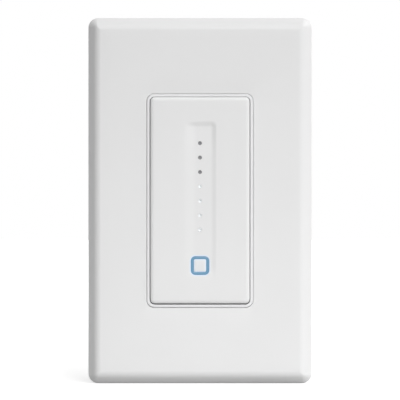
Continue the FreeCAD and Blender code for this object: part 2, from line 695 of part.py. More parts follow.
def make_ground_screw():
    """Hex-headed earth screw on the yoke's folded lug."""
    y = EARTH_LUG_REACH / 2
    top = EARTH_FACE - EARTH_HEAD_HEIGHT
    half = DRIVE_SLOT / 2
    head = hexagon(EARTH_HEAD_R, top, EARTH_FACE, y, EARTH_LUG_Z)
    shank = rod(EARTH_SCREW_R, EARTH_FACE, EARTH_FACE + EARTH_SCREW_LENGTH, y, EARTH_LUG_Z)
    slot = block((top - 1, top + DRIVE_DEPTH), (y - half, y + half),
                 (EARTH_LUG_Z - EARTH_HEAD_R, EARTH_LUG_Z + EARTH_HEAD_R))
    return fused([head, shank]).cut(slot)


def bearing_lug():
    """Snap bearing on the ledge for one paddle trunnion, open to the front."""
    outer = PIVOT_R + PIVOT_GAP + PIVOT_WALL
    across = (LUG_X, LUG_X + LUG_WIDTH)
    lug = block(across, (PIVOT_Y - outer, LEDGE + FLANGE_THICKNESS / 2), (PIVOT_Z - outer, PIVOT_Z + outer))
    mouth = block((LUG_X - 1, across[1] + 1), (PIVOT_Y - 2 * outer, PIVOT_Y),
                  (PIVOT_Z - PIVOT_MOUTH / 2, PIVOT_Z + PIVOT_MOUTH / 2))
    return lug.cut([rod(PIVOT_R + PIVOT_GAP, LUG_X - 1, across[1] + 1, PIVOT_Y, PIVOT_Z), mouth])


def make_bezel_frame():
    """Moulded frame: flange, collar round the paddle, and the tray behind it."""
    collar = slab(COLLAR_WIDTH, COLLAR_HEIGHT, COLLAR_FACE, LEDGE, OPENING_CORNER - COLLAR_GAP)
    well = slab(WELL_WIDTH, WELL_HEIGHT, COLLAR_FACE - 1, LEDGE, PADDLE_CORNER + PADDLE_SIDE_GAP)
    collar = collar.cut(well)
    rim = edges_at_depth(collar, COLLAR_FACE)
    collar = collar.makeChamfer(COLLAR_EDGE, rim)
    flange = slab(FLANGE_WIDTH, FLANGE_HEIGHT, LEDGE, YOKE_FRONT)
    tray = slab(TRAY_WIDTH + 2 * TRAY_WALL, TRAY_HEIGHT + 2 * TRAY_WALL, LEDGE, TRAY_BACK)
    inside = slab(TRAY_WIDTH, TRAY_HEIGHT, LEDGE - 1, TRAY_FLOOR)
    frame = fused([collar, flange, tray]).cut(inside)
    additions = [bearing_lug(), mirrored(bearing_lug())]
    cuts = [slab(TRAY_HOLE, TRAY_HOLE, TRAY_FLOOR - 1, TRAY_BACK + 1, 0, 0, ACTUATOR_Z),
            slab(FLEX_WIDTH + 1, FLEX_THICKNESS + 1, TRAY_FLOOR - 1, TRAY_BACK + 1, 0, 0, FLEX_Z)]
    window_depth = (HOOK_TOP - HOOK_GAP, HOOK_TOP + HOOK_DEPTH + PADDLE_TRAVEL + TRAVEL_MARGIN)
    window_height = (TRAY_END - TRAY_WALL - 1, TRAY_END + 0.5)
    for side in (-1, 1):
        reach = HOOK_WIDTH / 2 + 0.5
        cuts.append(block((side * HOOK_X - reach, side * HOOK_X + reach), window_depth, window_height))
        for end in (-1, 1):
            peg = slab(PEG_SIDE, PEG_SIDE, TRAY_FLOOR, CONTROL_FRONT, 0, side * PEG_X, end * PEG_Z)
            additions.append(peg)
    for side, z in CATCH_PLACES:
        cuts += [catch_slot(side, z, LEDGE - 1, YOKE_FRONT + 1), catch_recess(side, z)]
    return fused([frame] + additions).cut(cuts)


def trunnion():
    """Ear on the paddle's back with the round pin that turns in the bearing."""
    left = LUG_X + LUG_WIDTH + EAR_GAP
    half = PIVOT_R + EAR_GAP
    ear = block((left, left + LUG_WIDTH), (PADDLE_BACK - PADDLE_WALL / 2, PIVOT_Y + half),
                (PIVOT_Z - half, PIVOT_Z + half))
    return fused([ear, rod(PIVOT_R, LUG_X - EAR_GAP, left + LUG_WIDTH / 2, PIVOT_Y, PIVOT_Z)])


def stop_hook(x):
    """Leg with a barb that stops the paddle against a window in the tray's end wall."""
    root = PADDLE_BACK - PADDLE_WALL / 2
    near = TRAY_END + TRAY_GAP
    tip = HOOK_TOP + HOOK_DEPTH
    across = (x - HOOK_WIDTH / 2, x + HOOK_WIDTH / 2)
    leg = block(across, (root, tip), (near, near + HOOK_THICKNESS))
    nose = [(HOOK_TOP, near + HOOK_THICKNESS, 0), (tip, near + HOOK_THICKNESS, 0), (tip, near, 0),
            (HOOK_TOP + HOOK_DEPTH / 3, near - HOOK_BARB, 0), (HOOK_TOP, near - HOOK_BARB, 0)]
    return leg.fuse(pad_along_x(nose, across[0], across[1]))


def paddle_underside():
    """Ribs, trunnions, spring posts, actuator, stakes and hooks on the paddle's back."""
    root = PADDLE_BACK - PADDLE_WALL / 2
    pieces = [trunnion(), mirrored(trunnion())]
    stake_end = TOUCH_BACK + STAKE_SIDE / 2
    pieces += [slab(STAKE_SIDE, STAKE_SIDE, root, stake_end, 0, x, z) for x, z in STAKE_PLACES]
    post_end = PADDLE_BACK + POST_LENGTH
    rib_near = TOUCH_WIDTH / 2 + TOUCH_MARGIN / 2
    rib_far = PADDLE_WIDTH / 2 - PADDLE_SKIRT / 2
    for side in (-1, 1):
        pieces.append(stop_hook(side * HOOK_X))
        pieces.append(slab(POST_SIDE, SPRING_WIDTH, root, post_end, 0, side * POST_X, POST_Z))
        across = sorted((side * rib_near, side * rib_far))
        for step in range(RIB_COUNT):
            z = RIB_PITCH * (step - 1)
            rib_height = (z - RIB_THICKNESS / 2, z + RIB_THICKNESS / 2)
            pieces.append(block(across, (root, SKIRT_END), rib_height))
    root_size = (ACTUATOR_SIDE, ACTUATOR_SIDE)
    tip_size = (ACTUATOR_TIP_SIDE, ACTUATOR_TIP_SIDE)
    pieces.append(taper(root_size, tip_size, root, ACTUATOR_TIP, 0, ACTUATOR_Z))
    return pieces


def groove():
    """Slider groove with sloped walls and soft creases, and a longer slope at its foot."""
    above = PADDLE_FACE - 1
    edge = GROOVE_WIDTH / 2
    low = GROOVE_FOOT - GROOVE_EDGE
    high = GROOVE_TOP + GROOVE_EDGE
    side = [(edge + GROOVE_EDGE, above, 0), (edge + GROOVE_EDGE, PADDLE_FACE, 0),
            (edge, PADDLE_FACE, GROOVE_EDGE), (edge - GROOVE_SLOPE, GROOVE_FLOOR, GROOVE_EDGE)]
    across = pad_along_z(side + [(-a, b, radius) for a, b, radius in reversed(side)], low, high)
    upright = pad_along_x([(above, high, 0), (PADDLE_FACE, high, 0), (PADDLE_FACE, GROOVE_TOP, GROOVE_EDGE),
                           (GROOVE_FLOOR, GROOVE_TOP - GROOVE_TOP_SLOPE, GROOVE_EDGE),
                           (GROOVE_FLOOR, GROOVE_FOOT + GROOVE_FOOT_SLOPE, GROOVE_EDGE),
                           (PADDLE_FACE, GROOVE_FOOT, GROOVE_EDGE), (PADDLE_FACE, low, 0), (above, low, 0)],
                          -edge - GROOVE_EDGE, edge + GROOVE_EDGE)
    return across.common(upright)


def make_paddle():
    """Hinged front panel with a soft edge and a sloped-wall slider groove."""
    shell = soft_slab(PADDLE_WIDTH, PADDLE_HEIGHT, PADDLE_FACE, SKIRT_END,
                      PADDLE_CORNER, PADDLE_EDGE, PADDLE_Z)
    hollow = slab(PADDLE_WIDTH - 2 * PADDLE_SKIRT, PADDLE_HEIGHT - 2 * PADDLE_SKIRT,
                  PADDLE_BACK, SKIRT_END + 1, 0, 0, PADDLE_Z)
    cuts = [groove(),
            slab(RING_WIDTH + 2 * LIGHT_GAP, RING_HEIGHT + 2 * LIGHT_GAP, GROOVE_FLOOR - 1,
                 PADDLE_BACK + 1, RING_CORNER + LIGHT_GAP, 0, RING_Z)]
    for z in DOT_PLACES:
        cuts.append(disc(DOT_R + LIGHT_GAP, GROOVE_FLOOR - 1, PADDLE_BACK + 1, 0, z))
    return fused([shell.cut(hollow)] + paddle_underside()).cut(cuts)


def make_dot_lenses():
    """Seven small lenses, flush with the groove's floor."""
    return [disc(DOT_R, GROOVE_FLOOR, PADDLE_BACK + RING_FLANGE_THICKNESS / 2, 0, z) for z in DOT_PLACES]


def make_ring_light_guide():
    """Square light ring with a flange behind the paddle."""
    ring = slab(RING_WIDTH, RING_HEIGHT, GROOVE_FLOOR, PADDLE_BACK, RING_CORNER, 0, RING_Z)
    flange = slab(RING_WIDTH + 2 * RING_FLANGE, RING_HEIGHT + 2 * RING_FLANGE, PADDLE_BACK,
                  PADDLE_BACK + RING_FLANGE_THICKNESS, 0, 0, RING_Z)
    middle = slab(RING_WIDTH - 2 * RING_STROKE, RING_HEIGHT - 2 * RING_STROKE, GROOVE_FLOOR - 1,
                  PADDLE_BACK + 1, RING_CORNER - RING_STROKE, 0, RING_Z)
    return fused([ring, flange]).cut(middle)


def make_ring_center_cap():
    """Small square cap inside the light ring, with a step behind it."""
    inset = 2 * (RING_STROKE + LIGHT_GAP)
    plug = slab(RING_WIDTH - inset, RING_HEIGHT - inset, GROOVE_FLOOR,
                PADDLE_BACK + RING_FLANGE_THICKNESS, RING_CORNER - RING_STROKE - LIGHT_GAP, 0, RING_Z)
    step = slab(RING_WIDTH, RING_HEIGHT, PADDLE_BACK + RING_FLANGE_THICKNESS,
                PADDLE_BACK + 1.5 * RING_FLANGE_THICKNESS, 0, 0, RING_Z)
    return fused([plug, step])


def make_light_baffle():
    """Black spacer with one light cell for each lens."""
    top = DOT_PLACES[-1] + BAFFLE_MARGIN
    foot = RING_Z - RING_HEIGHT / 2 - BAFFLE_FOOT
    baffle = slab(BAFFLE_WIDTH, top - foot, PADDLE_BACK, TOUCH_FRONT, 0, 0, (top + foot) / 2)
    cell_height = DOT_PITCH - BAFFLE_WEB
    cells = [slab(BAFFLE_CELL, cell_height, PADDLE_BACK - 1, TOUCH_FRONT + 1, 0, 0, z) for z in DOT_PLACES]
    flange_gap = 2 * (RING_FLANGE + 3 * LIGHT_GAP)
    cells.append(slab(RING_WIDTH + flange_gap, RING_HEIGHT + flange_gap, PADDLE_BACK - 1,
                      TOUCH_FRONT + 1, 0, 0, RING_Z))
    return baffle.cut(cells)


def make_touch_board():
    """Circuit board with the touch electrode, staked to the paddle's back."""
    board = slab(TOUCH_WIDTH, TOUCH_HEIGHT, TOUCH_FRONT, TOUCH_BACK, 0, 0, TOUCH_MIDDLE)
    hole = STAKE_SIDE + 2 * SCREW_GAP
    return board.cut([slab(hole, hole, TOUCH_FRONT - 1, TOUCH_BACK + 1, 0, x, z) for x, z in STAKE_PLACES])


def make_indicator_leds():
    """One light-emitting chip behind each dot, and one each side of the ring's middle."""
    front = TOUCH_FRONT - LED_DEPTH
    chips = [slab(LED_HEIGHT, LED_WIDTH, front, TOUCH_FRONT, 0, 0, z) for z in DOT_PLACES]
    ring_front = TOUCH_FRONT - (BAFFLE_THICKNESS - 1.5 * RING_FLANGE_THICKNESS) / 2
    for side in (-1, 1):
        x = side * (RING_WIDTH / 2 - RING_STROKE / 2)
        chips.append(slab(LED_WIDTH, LED_HEIGHT, ring_front, TOUCH_FRONT, 0, x, RING_Z))
    return chips


def make_return_spring():
    """Bowed steel strip: flat on the tray's floor, with both tips under the paddle's posts."""
    foot_x = SPRING_FOOT / 2
    arm_x = POST_X - SPRING_TIP / 2
    end_x = POST_X + SPRING_TIP / 2
    outer_bend = SPRING_BEND + SPRING_THICKNESS
    back_half = [(end_x, SPRING_TIP_FACE, 0), (end_x, SPRING_TIP_FACE + SPRING_THICKNESS, 0),
                 (arm_x, SPRING_TIP_FACE + SPRING_THICKNESS, SPRING_BEND), (foot_x, TRAY_FLOOR, outer_bend)]
    front_half = [(foot_x, TRAY_FLOOR - SPRING_THICKNESS, SPRING_BEND),
                  (arm_x, SPRING_TIP_FACE, outer_bend)]
    back = back_half + [(-x, y, radius) for x, y, radius in reversed(back_half)]
    front = [(-x, y, radius) for x, y, radius in reversed(front_half)] + front_half
    return pad_along_z(back + front, POST_Z - SPRING_WIDTH / 2, POST_Z + SPRING_WIDTH / 2)


def make_flex_cable():
    """Flat cable from the back of the touch board, bent once into its socket."""
    start_z = FLEX_Z - FLEX_BEND - FLEX_PAD
    inner = TOUCH_BACK
    outer = TOUCH_BACK + FLEX_THICKNESS
    end = CONTROL_FRONT - FLEX_SOCKET_HEIGHT + FLEX_GRIP
    near = FLEX_Z - FLEX_THICKNESS / 2
    far = FLEX_Z + FLEX_THICKNESS / 2
    profile = [(inner, start_z, 0), (inner, far, FLEX_BEND + FLEX_THICKNESS), (end, far, 0),
               (end, near, 0), (outer, near, FLEX_BEND), (outer, start_z, 0)]
    return pad_along_x(profile, -FLEX_WIDTH / 2, FLEX_WIDTH / 2)


def make_flex_socket():
    """Socket on the control board for the flat cable."""
    front = CONTROL_FRONT - FLEX_SOCKET_HEIGHT
    body = slab(FLEX_SOCKET_WIDTH, FLEX_SOCKET_DEPTH, front, CONTROL_FRONT, 0, 0, FLEX_Z)
    gap = 2 * SCREW_GAP
    mouth_end = front + FLEX_GRIP + SCREW_GAP
    return body.cut(slab(FLEX_WIDTH + gap, FLEX_THICKNESS + gap, front - 1, mouth_end, 0, 0, FLEX_Z))


def make_control_board():
    """Circuit board with the switch, the radio module and the sockets."""
    return slab(CONTROL_WIDTH, CONTROL_HEIGHT, CONTROL_FRONT, CONTROL_BACK)


def make_tact_switch():
    """Square push-switch body with a bore for its plunger."""
    body = slab(SWITCH_WIDTH, SWITCH_DEPTH, SWITCH_TOP, CONTROL_FRONT, 0, 0, ACTUATOR_Z + SWITCH_OFFSET)
    bore_end = CONTROL_FRONT - SWITCH_FLOOR
    return body.cut(disc(PLUNGER_R + PLUNGER_GAP, SWITCH_TOP - 1, bore_end, 0, ACTUATOR_Z))


def make_tact_plunger():
    """Plunger of the push-switch, just clear of the paddle's actuator."""
    return disc(PLUNGER_R, PLUNGER_TOP, PLUNGER_FOOT, 0, ACTUATOR_Z)


def make_radio_module():
    """Small radio board under a folded shield can, with its aerial end bare."""
    can_front = RADIO_BACK - RADIO_CAN
    board = slab(RADIO_WIDTH, RADIO_HEIGHT + RADIO_AERIAL, CONTROL_BACK, can_front,
                 0, 0, RADIO_Z + RADIO_AERIAL / 2)
    can = slab(RADIO_WIDTH - 2 * RADIO_MARGIN, RADIO_HEIGHT - 2 * RADIO_MARGIN, can_front,
               RADIO_BACK, 0, 0, RADIO_Z)
    return fused([board, can])


def housing_shell():
    """Tapered tub with rounded edges, open to the front."""
    rear_size = (HOUSING_WIDTH - 2 * HOUSING_DRAFT, HOUSING_HEIGHT - 2 * HOUSING_DRAFT)
    outside = taper((HOUSING_WIDTH, HOUSING_HEIGHT), rear_size, 0, HOUSING_DEPTH)
    corners = [edge for edge in outside.Edges if edge.BoundBox.YLength > HOUSING_DEPTH / 2]
    outside = outside.makeFillet(HOUSING_CORNER, corners)
    outside = outside.makeChamfer(HOUSING_EDGE, edges_at_depth(outside, HOUSING_DEPTH))
    rear_cavity = (CAVITY_WIDTH - 2 * HOUSING_DRAFT, CAVITY_HEIGHT - 2 * HOUSING_DRAFT)
    inside = taper((CAVITY_WIDTH, CAVITY_HEIGHT), rear_cavity, 0, POCKET_BACK)
    return outside.cut(inside), outside


def make_rear_housing():
    """Back box with four catches, board shelves, and four side pockets for wires."""
    shell, outside = housing_shell()
    additions = [catch(side, z) for side, z in CATCH_PLACES]
    cuts = []
    shelf_x = HEADER_X - HEADER_WIDTH / 2 - SHELF_GAP
    for end in (-1, 1):
        wall = end * (HOUSING_HEIGHT / 2 - HOUSING_WALL / 2)
        shelf = sorted((wall, end * (CONTROL_HEIGHT / 2 - SHELF_REACH)))
        ledge = sorted((wall, end * (CONTROL_HEIGHT / 2 - 2 * SHELF_REACH)))
        across = (-shelf_x, shelf_x)
        additions.append(block(across, (CONTROL_BACK, POWER_FRONT - POWER_GAP), shelf))
        additions.append(block(across, (POWER_BACK, HOUSING_DEPTH - 1), ledge))
    half = POCKET_HEIGHT / 2
    half_foot = TERMINAL_FOOT / 2 + TERMINAL_FOOT_GAP
    foot_depth = (POWER_FRONT - TERMINAL_PLATE - TERMINAL_FOOT_GAP, POWER_FRONT + TERMINAL_FOOT_GAP)
    for side, end in TERMINAL_PLACES:
        z = end * POCKET_Z
        around = sorted((side * (POCKET_FLOOR - POCKET_WALL), side * HOUSING_WIDTH))
        box = block(around, (POCKET_FRONT - POCKET_WALL, HOUSING_DEPTH),
                    (z - half - POCKET_WALL, z + half + POCKET_WALL))
        additions.append(box.common(outside))
        hollow = sorted((side * POCKET_FLOOR, side * HOUSING_WIDTH))
        cuts.append(block(hollow, (POCKET_FRONT, POCKET_BACK), (z - half, z + half)))
        wire_x = side * (POCKET_FLOOR + TERMINAL_PLATE + WIRE_SPACE / 2)
        cuts.append(disc(WIRE_HOLE_R, POCKET_BACK - 1, HOUSING_DEPTH + 1, wire_x, z - end * WIRE_HOLE_OFFSET))
        floor = sorted((side * (POCKET_FLOOR + 1), side * (POCKET_FLOOR - POCKET_WALL - 1)))
        cuts.append(block(floor, foot_depth, (z - half_foot, z + half_foot)))
    cuts.append(slab(GAUGE_WIDTH, GAUGE_LENGTH, HOUSING_DEPTH - GAUGE_DEPTH, HOUSING_DEPTH + 1))
    return fused([shell] + additions).cut(cuts)


def make_terminal_plates():
    """Four brass plates on the pocket floors, each with a foot to the power board."""
    plates = []
    half_length = TERMINAL_LENGTH / 2
    for side, end in TERMINAL_PLACES:
        z = end * POCKET_Z
        across = sorted((side * POCKET_FLOOR, side * (POCKET_FLOOR + TERMINAL_PLATE)))
        plate = block(across, (TERMINAL_Y - half_length, TERMINAL_Y + half_length),
                      (z - TERMINAL_HEIGHT / 2, z + TERMINAL_HEIGHT / 2))
        reach = sorted((side * (POCKET_FLOOR + TERMINAL_PLATE / 2), side * (POWER_REACH - TERMINAL_FOOT)))
        foot = block(reach, (POWER_FRONT - TERMINAL_PLATE, POWER_FRONT),
                     (z - TERMINAL_FOOT / 2, z + TERMINAL_FOOT / 2))
        plates.append(fused([plate, foot]))
    return plates


def make_terminal_clamps():
    """Four slotted pressure plates that grip the wires under the terminal screws."""
    clamps = []
    half_slot = SCREW_R + SCREW_GAP
    for side, end in TERMINAL_PLACES:
        z = end * POCKET_Z
        across = sorted((side * CLAMP_X, side * (CLAMP_X + CLAMP_THICKNESS)))
        front = TERMINAL_Y - CLAMP_SIDE / 2
        half_height = TERMINAL_HEIGHT / 2
        clamp = block(across, (front, front + CLAMP_SIDE), (z - half_height, z + half_height))
        slot = block(across, (front - 1, TERMINAL_Y + half_slot), (z - half_slot, z + half_slot))
        clamps.append(clamp.cut(slot))
    return clamps


def make_terminal_screws():
    """Four hex-headed screws across the wire pockets."""
    screws = []
    seat = CLAMP_X + CLAMP_THICKNESS
    top = seat + TERMINAL_HEAD_HEIGHT
    half = DRIVE_SLOT / 2
    for side, end in TERMINAL_PLACES:
        z = end * POCKET_Z
        head = hexagon(TERMINAL_HEAD_R, seat, top, TERMINAL_Y, z)
        shank = rod(SCREW_R, POCKET_FLOOR + TERMINAL_PLATE, seat, TERMINAL_Y, z)
        slot = block((top - DRIVE_DEPTH, top + 1), (TERMINAL_Y - half, TERMINAL_Y + half),
                     (z - TERMINAL_HEAD_R, z + TERMINAL_HEAD_R))
        screw = fused([head, shank]).cut(slot)
        screws.append(screw if side > 0 else mirrored(screw))
    return screws


def make_power_board():
    """Circuit board across the rear of the housing, notched round the wire pockets."""
    wide = HOUSING_WIDTH / 2 - HOUSING_WALL - HOUSING_DRAFT - POWER_GAP
    notch_low = POCKET_Z - POCKET_HEIGHT / 2 - POCKET_WALL - POWER_GAP
    quarter = [(POWER_REACH, POWER_END, 0), (POWER_REACH, notch_low, 0), (wide, notch_low, 0)]
    right = quarter + [(a, -b, radius) for a, b, radius in reversed(quarter)]
    corners = right + [(-a, -b, radius) for a, b, radius in right]
    return pad(corners, POWER_FRONT, POWER_BACK)


def make_thermal_pad():
    """Thin insulating pad between the heat-sink tab and the transistors."""
    depth = (TRANSISTOR_Y - PAD_MARGIN, TRANSISTOR_Y + TRANSISTOR_TAB_LENGTH + PAD_MARGIN)
    return block((SINK_X - PAD_THICKNESS, SINK_X), depth, (-TAB_HALF_HEIGHT, TAB_HALF_HEIGHT))


def make_power_transistors():
    """Two flat power transistors with metal tabs and three leads each."""
    tab_x = SINK_X - PAD_THICKNESS - TRANSISTOR_TAB
    body_x = tab_x - TRANSISTOR_BODY
    lead_x = (tab_x + body_x) / 2
    end_y = TRANSISTOR_Y + TRANSISTOR_TAB_LENGTH
    half = TRANSISTOR_WIDTH / 2
    half_lead = TRANSISTOR_LEAD / 2
    devices = []
    for z in (-TRANSISTOR_PITCH / 2, TRANSISTOR_PITCH / 2):
        across = (z - half, z + half)
        parts = [block((tab_x, SINK_X - PAD_THICKNESS), (TRANSISTOR_Y, end_y), across),
                 block((body_x, tab_x), (end_y - TRANSISTOR_BODY_LENGTH, end_y), across)]
        for lead_z in (z - LEAD_PITCH, z, z + LEAD_PITCH):
            parts.append(block((lead_x - half_lead, lead_x + half_lead), (end_y - 1, POWER_FRONT),
                               (lead_z - half_lead, lead_z + half_lead)))
        devices.append(fused(parts))
    return devices


def make_transformer():
    """Small mains transformer: core round a taped winding."""
    core = slab(CORE_SIDE, CORE_SIDE, CORE_FRONT + CORE_STEP, POWER_FRONT - CORE_STEP, 0, CORE_X, CORE_Z)
    winding = slab(WINDING_WIDTH, WINDING_HEIGHT, CORE_FRONT, POWER_FRONT, CORE_STEP, CORE_X, CORE_Z)
    return fused([core, winding])


def make_filter_choke():
    """Drum choke standing on the power board."""
    return disc(CHOKE_R, POWER_FRONT - CHOKE_HEIGHT, POWER_FRONT, CHOKE_X, CHOKE_Z)


def make_film_capacitor():
    """Boxed film capacitor standing on the power board."""
    return slab(FILM_WIDTH, FILM_DEPTH, POWER_FRONT - FILM_HEIGHT, POWER_FRONT, 0, 0, FILM_Z)


def make_board_header():
    """Row of pins that joins the control board to the power board."""
    shapes = []
    length = HEADER_PITCH * HEADER_PINS
    for front in (CONTROL_BACK, POWER_FRONT - HEADER_BODY):
        shapes.append(slab(HEADER_WIDTH, length, front, front + HEADER_BODY, 0, HEADER_X, HEADER_Z))
    for step in range(HEADER_PINS):
        z = HEADER_Z + HEADER_PITCH * (step - (HEADER_PINS - 1) / 2)
        shapes.append(slab(HEADER_PIN, HEADER_PIN, CONTROL_BACK, POWER_FRONT, 0, HEADER_X, z))
    return fused(shapes)


def solids_of(made):
    """Solids of a shape, or of each shape in a list."""
    if isinstance(made, list):
        return [solid for shape in made for solid in shape.Solids]
    return made.Solids


def write(name, made):
    """Check one node and write it as parts/NAME.step."""
    solids = solids_of(made)
    shape = solids[0] if len(solids) == 1 else Part.makeCompound(solids)
    if not shape.isValid() or shape.Volume <= 0:
        raise ValueError("bad solid in " + name)
    shape.exportStep(os.path.join("parts", name + ".step"))
    box = shape.BoundBox
    print("%-24s %2d solids %9.1f mm3  x %.2f..%.2f  y %.2f..%.2f  z %.2f..%.2f" % (
        name, len(solids), shape.Volume, box.XMin, box.XMax, box.YMin, box.YMax, box.ZMin, box.ZMax))


NODES = {
    "wall_plate": make_wall_plate,
    "sub_plate": make_sub_plate,
    "sub_plate_screws": make_sub_plate_screws,
    "box_screws": make_box_screws,
    "screw_retainers": make_screw_retainers,
    "yoke": make_yoke,
    "ground_screw": make_ground_screw,
    "bezel_frame": make_bezel_frame,
    "paddle": make_paddle,
    "dot_lenses": make_dot_lenses,
    "ring_light_guide": make_ring_light_guide,
    "ring_center_cap": make_ring_center_cap,
    "light_baffle": make_light_baffle,
    "touch_board": make_touch_board,
    "indicator_leds": make_indicator_leds,
    "return_spring": make_return_spring,
    "flex_cable": make_flex_cable,
    "flex_socket": make_flex_socket,
    "control_board": make_control_board,
    "tact_switch": make_tact_switch,
    "tact_plunger": make_tact_plunger,
    "radio_module": make_radio_module,
    "board_header": make_board_header,
    "rear_housing": make_rear_housing,
    "terminal_plates": make_terminal_plates,
    "terminal_clamps": make_terminal_clamps,
    "terminal_screws": make_terminal_screws,
    "power_board": make_power_board,
    "thermal_pad": make_thermal_pad,
    "power_transistors": make_power_transistors,
    "transformer": make_transformer,
    "filter_choke": make_filter_choke,
    "film_capacitor": make_film_capacitor,
}


os.makedirs("parts", exist_ok=True)
for node, make in NODES.items():
    write(node, make())
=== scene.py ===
"""Looks of a smart dimmer switch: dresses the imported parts, adds the finely shaped pieces and lights them.

Lengths in the functions are millimetres until a mesh is made, and the meshes are in metres.
X runs right and Z up as seen from the room, and Y runs into the wall, whose surface is y = 0.
"""

import json
import math

import bpy
import numpy as np
from bpy.props import FloatProperty, FloatVectorProperty, IntProperty, PointerProperty
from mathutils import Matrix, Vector

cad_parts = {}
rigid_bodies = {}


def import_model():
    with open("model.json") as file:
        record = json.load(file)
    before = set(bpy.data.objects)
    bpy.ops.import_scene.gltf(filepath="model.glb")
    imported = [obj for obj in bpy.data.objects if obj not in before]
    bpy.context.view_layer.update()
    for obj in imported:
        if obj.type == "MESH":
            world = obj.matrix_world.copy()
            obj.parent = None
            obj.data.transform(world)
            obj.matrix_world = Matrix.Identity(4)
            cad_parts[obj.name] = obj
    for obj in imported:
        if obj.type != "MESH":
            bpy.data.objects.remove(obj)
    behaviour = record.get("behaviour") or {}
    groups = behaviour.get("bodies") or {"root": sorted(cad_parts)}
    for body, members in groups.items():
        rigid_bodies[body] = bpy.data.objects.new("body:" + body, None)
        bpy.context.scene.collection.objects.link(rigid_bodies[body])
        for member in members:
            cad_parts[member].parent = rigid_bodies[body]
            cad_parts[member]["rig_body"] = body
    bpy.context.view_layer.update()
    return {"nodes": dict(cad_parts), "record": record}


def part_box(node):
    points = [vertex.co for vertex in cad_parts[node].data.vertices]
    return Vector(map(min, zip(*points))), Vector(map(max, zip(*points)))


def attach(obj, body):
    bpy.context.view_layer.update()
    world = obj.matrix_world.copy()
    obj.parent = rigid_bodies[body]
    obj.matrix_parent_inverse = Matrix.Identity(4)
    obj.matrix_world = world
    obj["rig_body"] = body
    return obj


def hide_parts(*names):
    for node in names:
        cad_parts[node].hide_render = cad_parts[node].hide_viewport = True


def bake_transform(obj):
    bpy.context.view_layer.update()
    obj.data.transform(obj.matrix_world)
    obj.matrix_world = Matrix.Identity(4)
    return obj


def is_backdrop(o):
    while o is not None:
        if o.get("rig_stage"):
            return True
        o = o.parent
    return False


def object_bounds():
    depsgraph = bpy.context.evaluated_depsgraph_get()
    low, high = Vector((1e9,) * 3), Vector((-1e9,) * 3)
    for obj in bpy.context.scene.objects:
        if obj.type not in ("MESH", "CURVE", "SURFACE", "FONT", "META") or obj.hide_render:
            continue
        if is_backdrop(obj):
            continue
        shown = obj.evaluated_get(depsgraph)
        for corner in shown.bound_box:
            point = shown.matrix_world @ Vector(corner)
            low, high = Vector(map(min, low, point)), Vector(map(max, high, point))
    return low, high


bl_info = {
    "name": "Smart dimmer switch",
    "version": (1, 0, 0),
    "blender": (4, 5, 0),
    "location": "3D View > Sidebar > Dimmer",
    "description": "Dresses the packed parts of a wall dimmer switch and lights them",
    "category": "Object",
}

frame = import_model()
MM = 0.001
SLOTS = {row["node"]: row["material_slot"] for row in frame["record"]["subparts"]}
MATERIALS = {}

# Wall plate
OPENING = (16.57, 33.27, 2.32)  # half width, half height and corner radius
OPENING_ROLL = 0.32  # radius of the opening's soft edge
FACE_MARGIN = 0.3  # flat left between that edge and the face's last ring
SIDE_ROUND = 0.5  # radius where the side meets the bevel
INNER_ROUND = 0.3  # least radius inside the plate
BACK_RUN = 3.0  # flat behind the face, beside the inner bevel
BARB_SECTION = ((-0.4, -0.15), (-0.1, -0.15), (0.4, -0.38), (0.4, -0.5), (0.1, -0.7), (-0.4, -0.7))
BARB_HALF = 3.5  # half the length of a snap barb
BARB_X, BARB_Z = 17.0, 31.0  # middles of the barbs along the end walls and the side walls

# Paddle: each groove wall goes from its crease on the face to its crease on the floor
GROOVE_RIGHT, GROOVE_LEFT = (5.3, 3.5), (-5.2, -1.3)
GROOVE_HEAD, GROOVE_TAIL = (24.9, 22.9), (-25.5, -20.0)
FLOOR_LOW, FLOOR_HIGH = (-20, 12), (13, 22.5)  # heights between which the floor's depth changes
FACE_COLUMNS = ((-5.3, 8), (-1.2, 14), (3.3, 8), (5.4, 12))  # ends and steps of evenly divided runs
FACE_ROWS = ((-25.6, 5), (-19.9, 14), (12.9, 30), (22.8, 12), (25.0, 12))
FRONT_WALL = 1.7  # depth of the modelled front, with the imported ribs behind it
OVERLAP = 0.05  # by which pieces that are joined run into each other

# Lights
DOT_COUNT = 7
DOT_HOLE = 0.63  # radius of the paddle's holes round the dots
DOT_BOWL = 0.54  # radius of the dish in a dot
DOT_REACH, RING_REACH = 0.1, 0.12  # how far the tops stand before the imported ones
RING_HOLE = (2.88, 2.93, 1.43)  # half width, half height and corner radius of the hole round the ring
RING_FLANGE = 0.7  # lip of the light ring behind the paddle
RING_STEP = 0.4  # thickness of that lip
RING_STROKE = 0.9  # width of the lit line
RING_CORNER = 1.4  # outer corner radius of the lit line
CAP_PLUG = (1.92, 1.97, 0.47)  # half width, half height and corner radius of the cap inside the ring
PAINTED_HALO = (0.45, 1.1)  # distances from the middle of the lit line at which the glow painted round it starts to fade and ends

# Screws
SLOT_HALF, SLOT_DEPTH = 0.45, 0.6  # half width and depth of a screwdriver slot
SHANK = 1.75  # crest radius of the box, sub-plate and terminal screws
SHANK_END = 15.8  # distance of the terminal screws' inner ends from the middle

# Motion
BENT_BY_PADDLE = ("return_spring", "flex_cable")  # held by the chassis behind and bent by the paddle in front; their pieces stay fixed in place, on no body

# Stage, in metres
PLATE_FACE = 0.0062  # distance of the plate's face from the wall
EYE_HEIGHT = 0.0002
FLOOR_REACH = 3.0

# Materials
FACTOR, FIRST, SECOND, MIXED = 0, 6, 7, 2  # a colour Mix node's inputs, and its output
WAVE_BAND = 0.314  # distance between the bands of a Wave texture at a scale of 1, which is 2 pi / 20


# Shapes

def extent(node):
    """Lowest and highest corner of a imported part, as arrays in millimetres."""
    low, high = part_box(node)
    return np.array(low) / MM, np.array(high) / MM


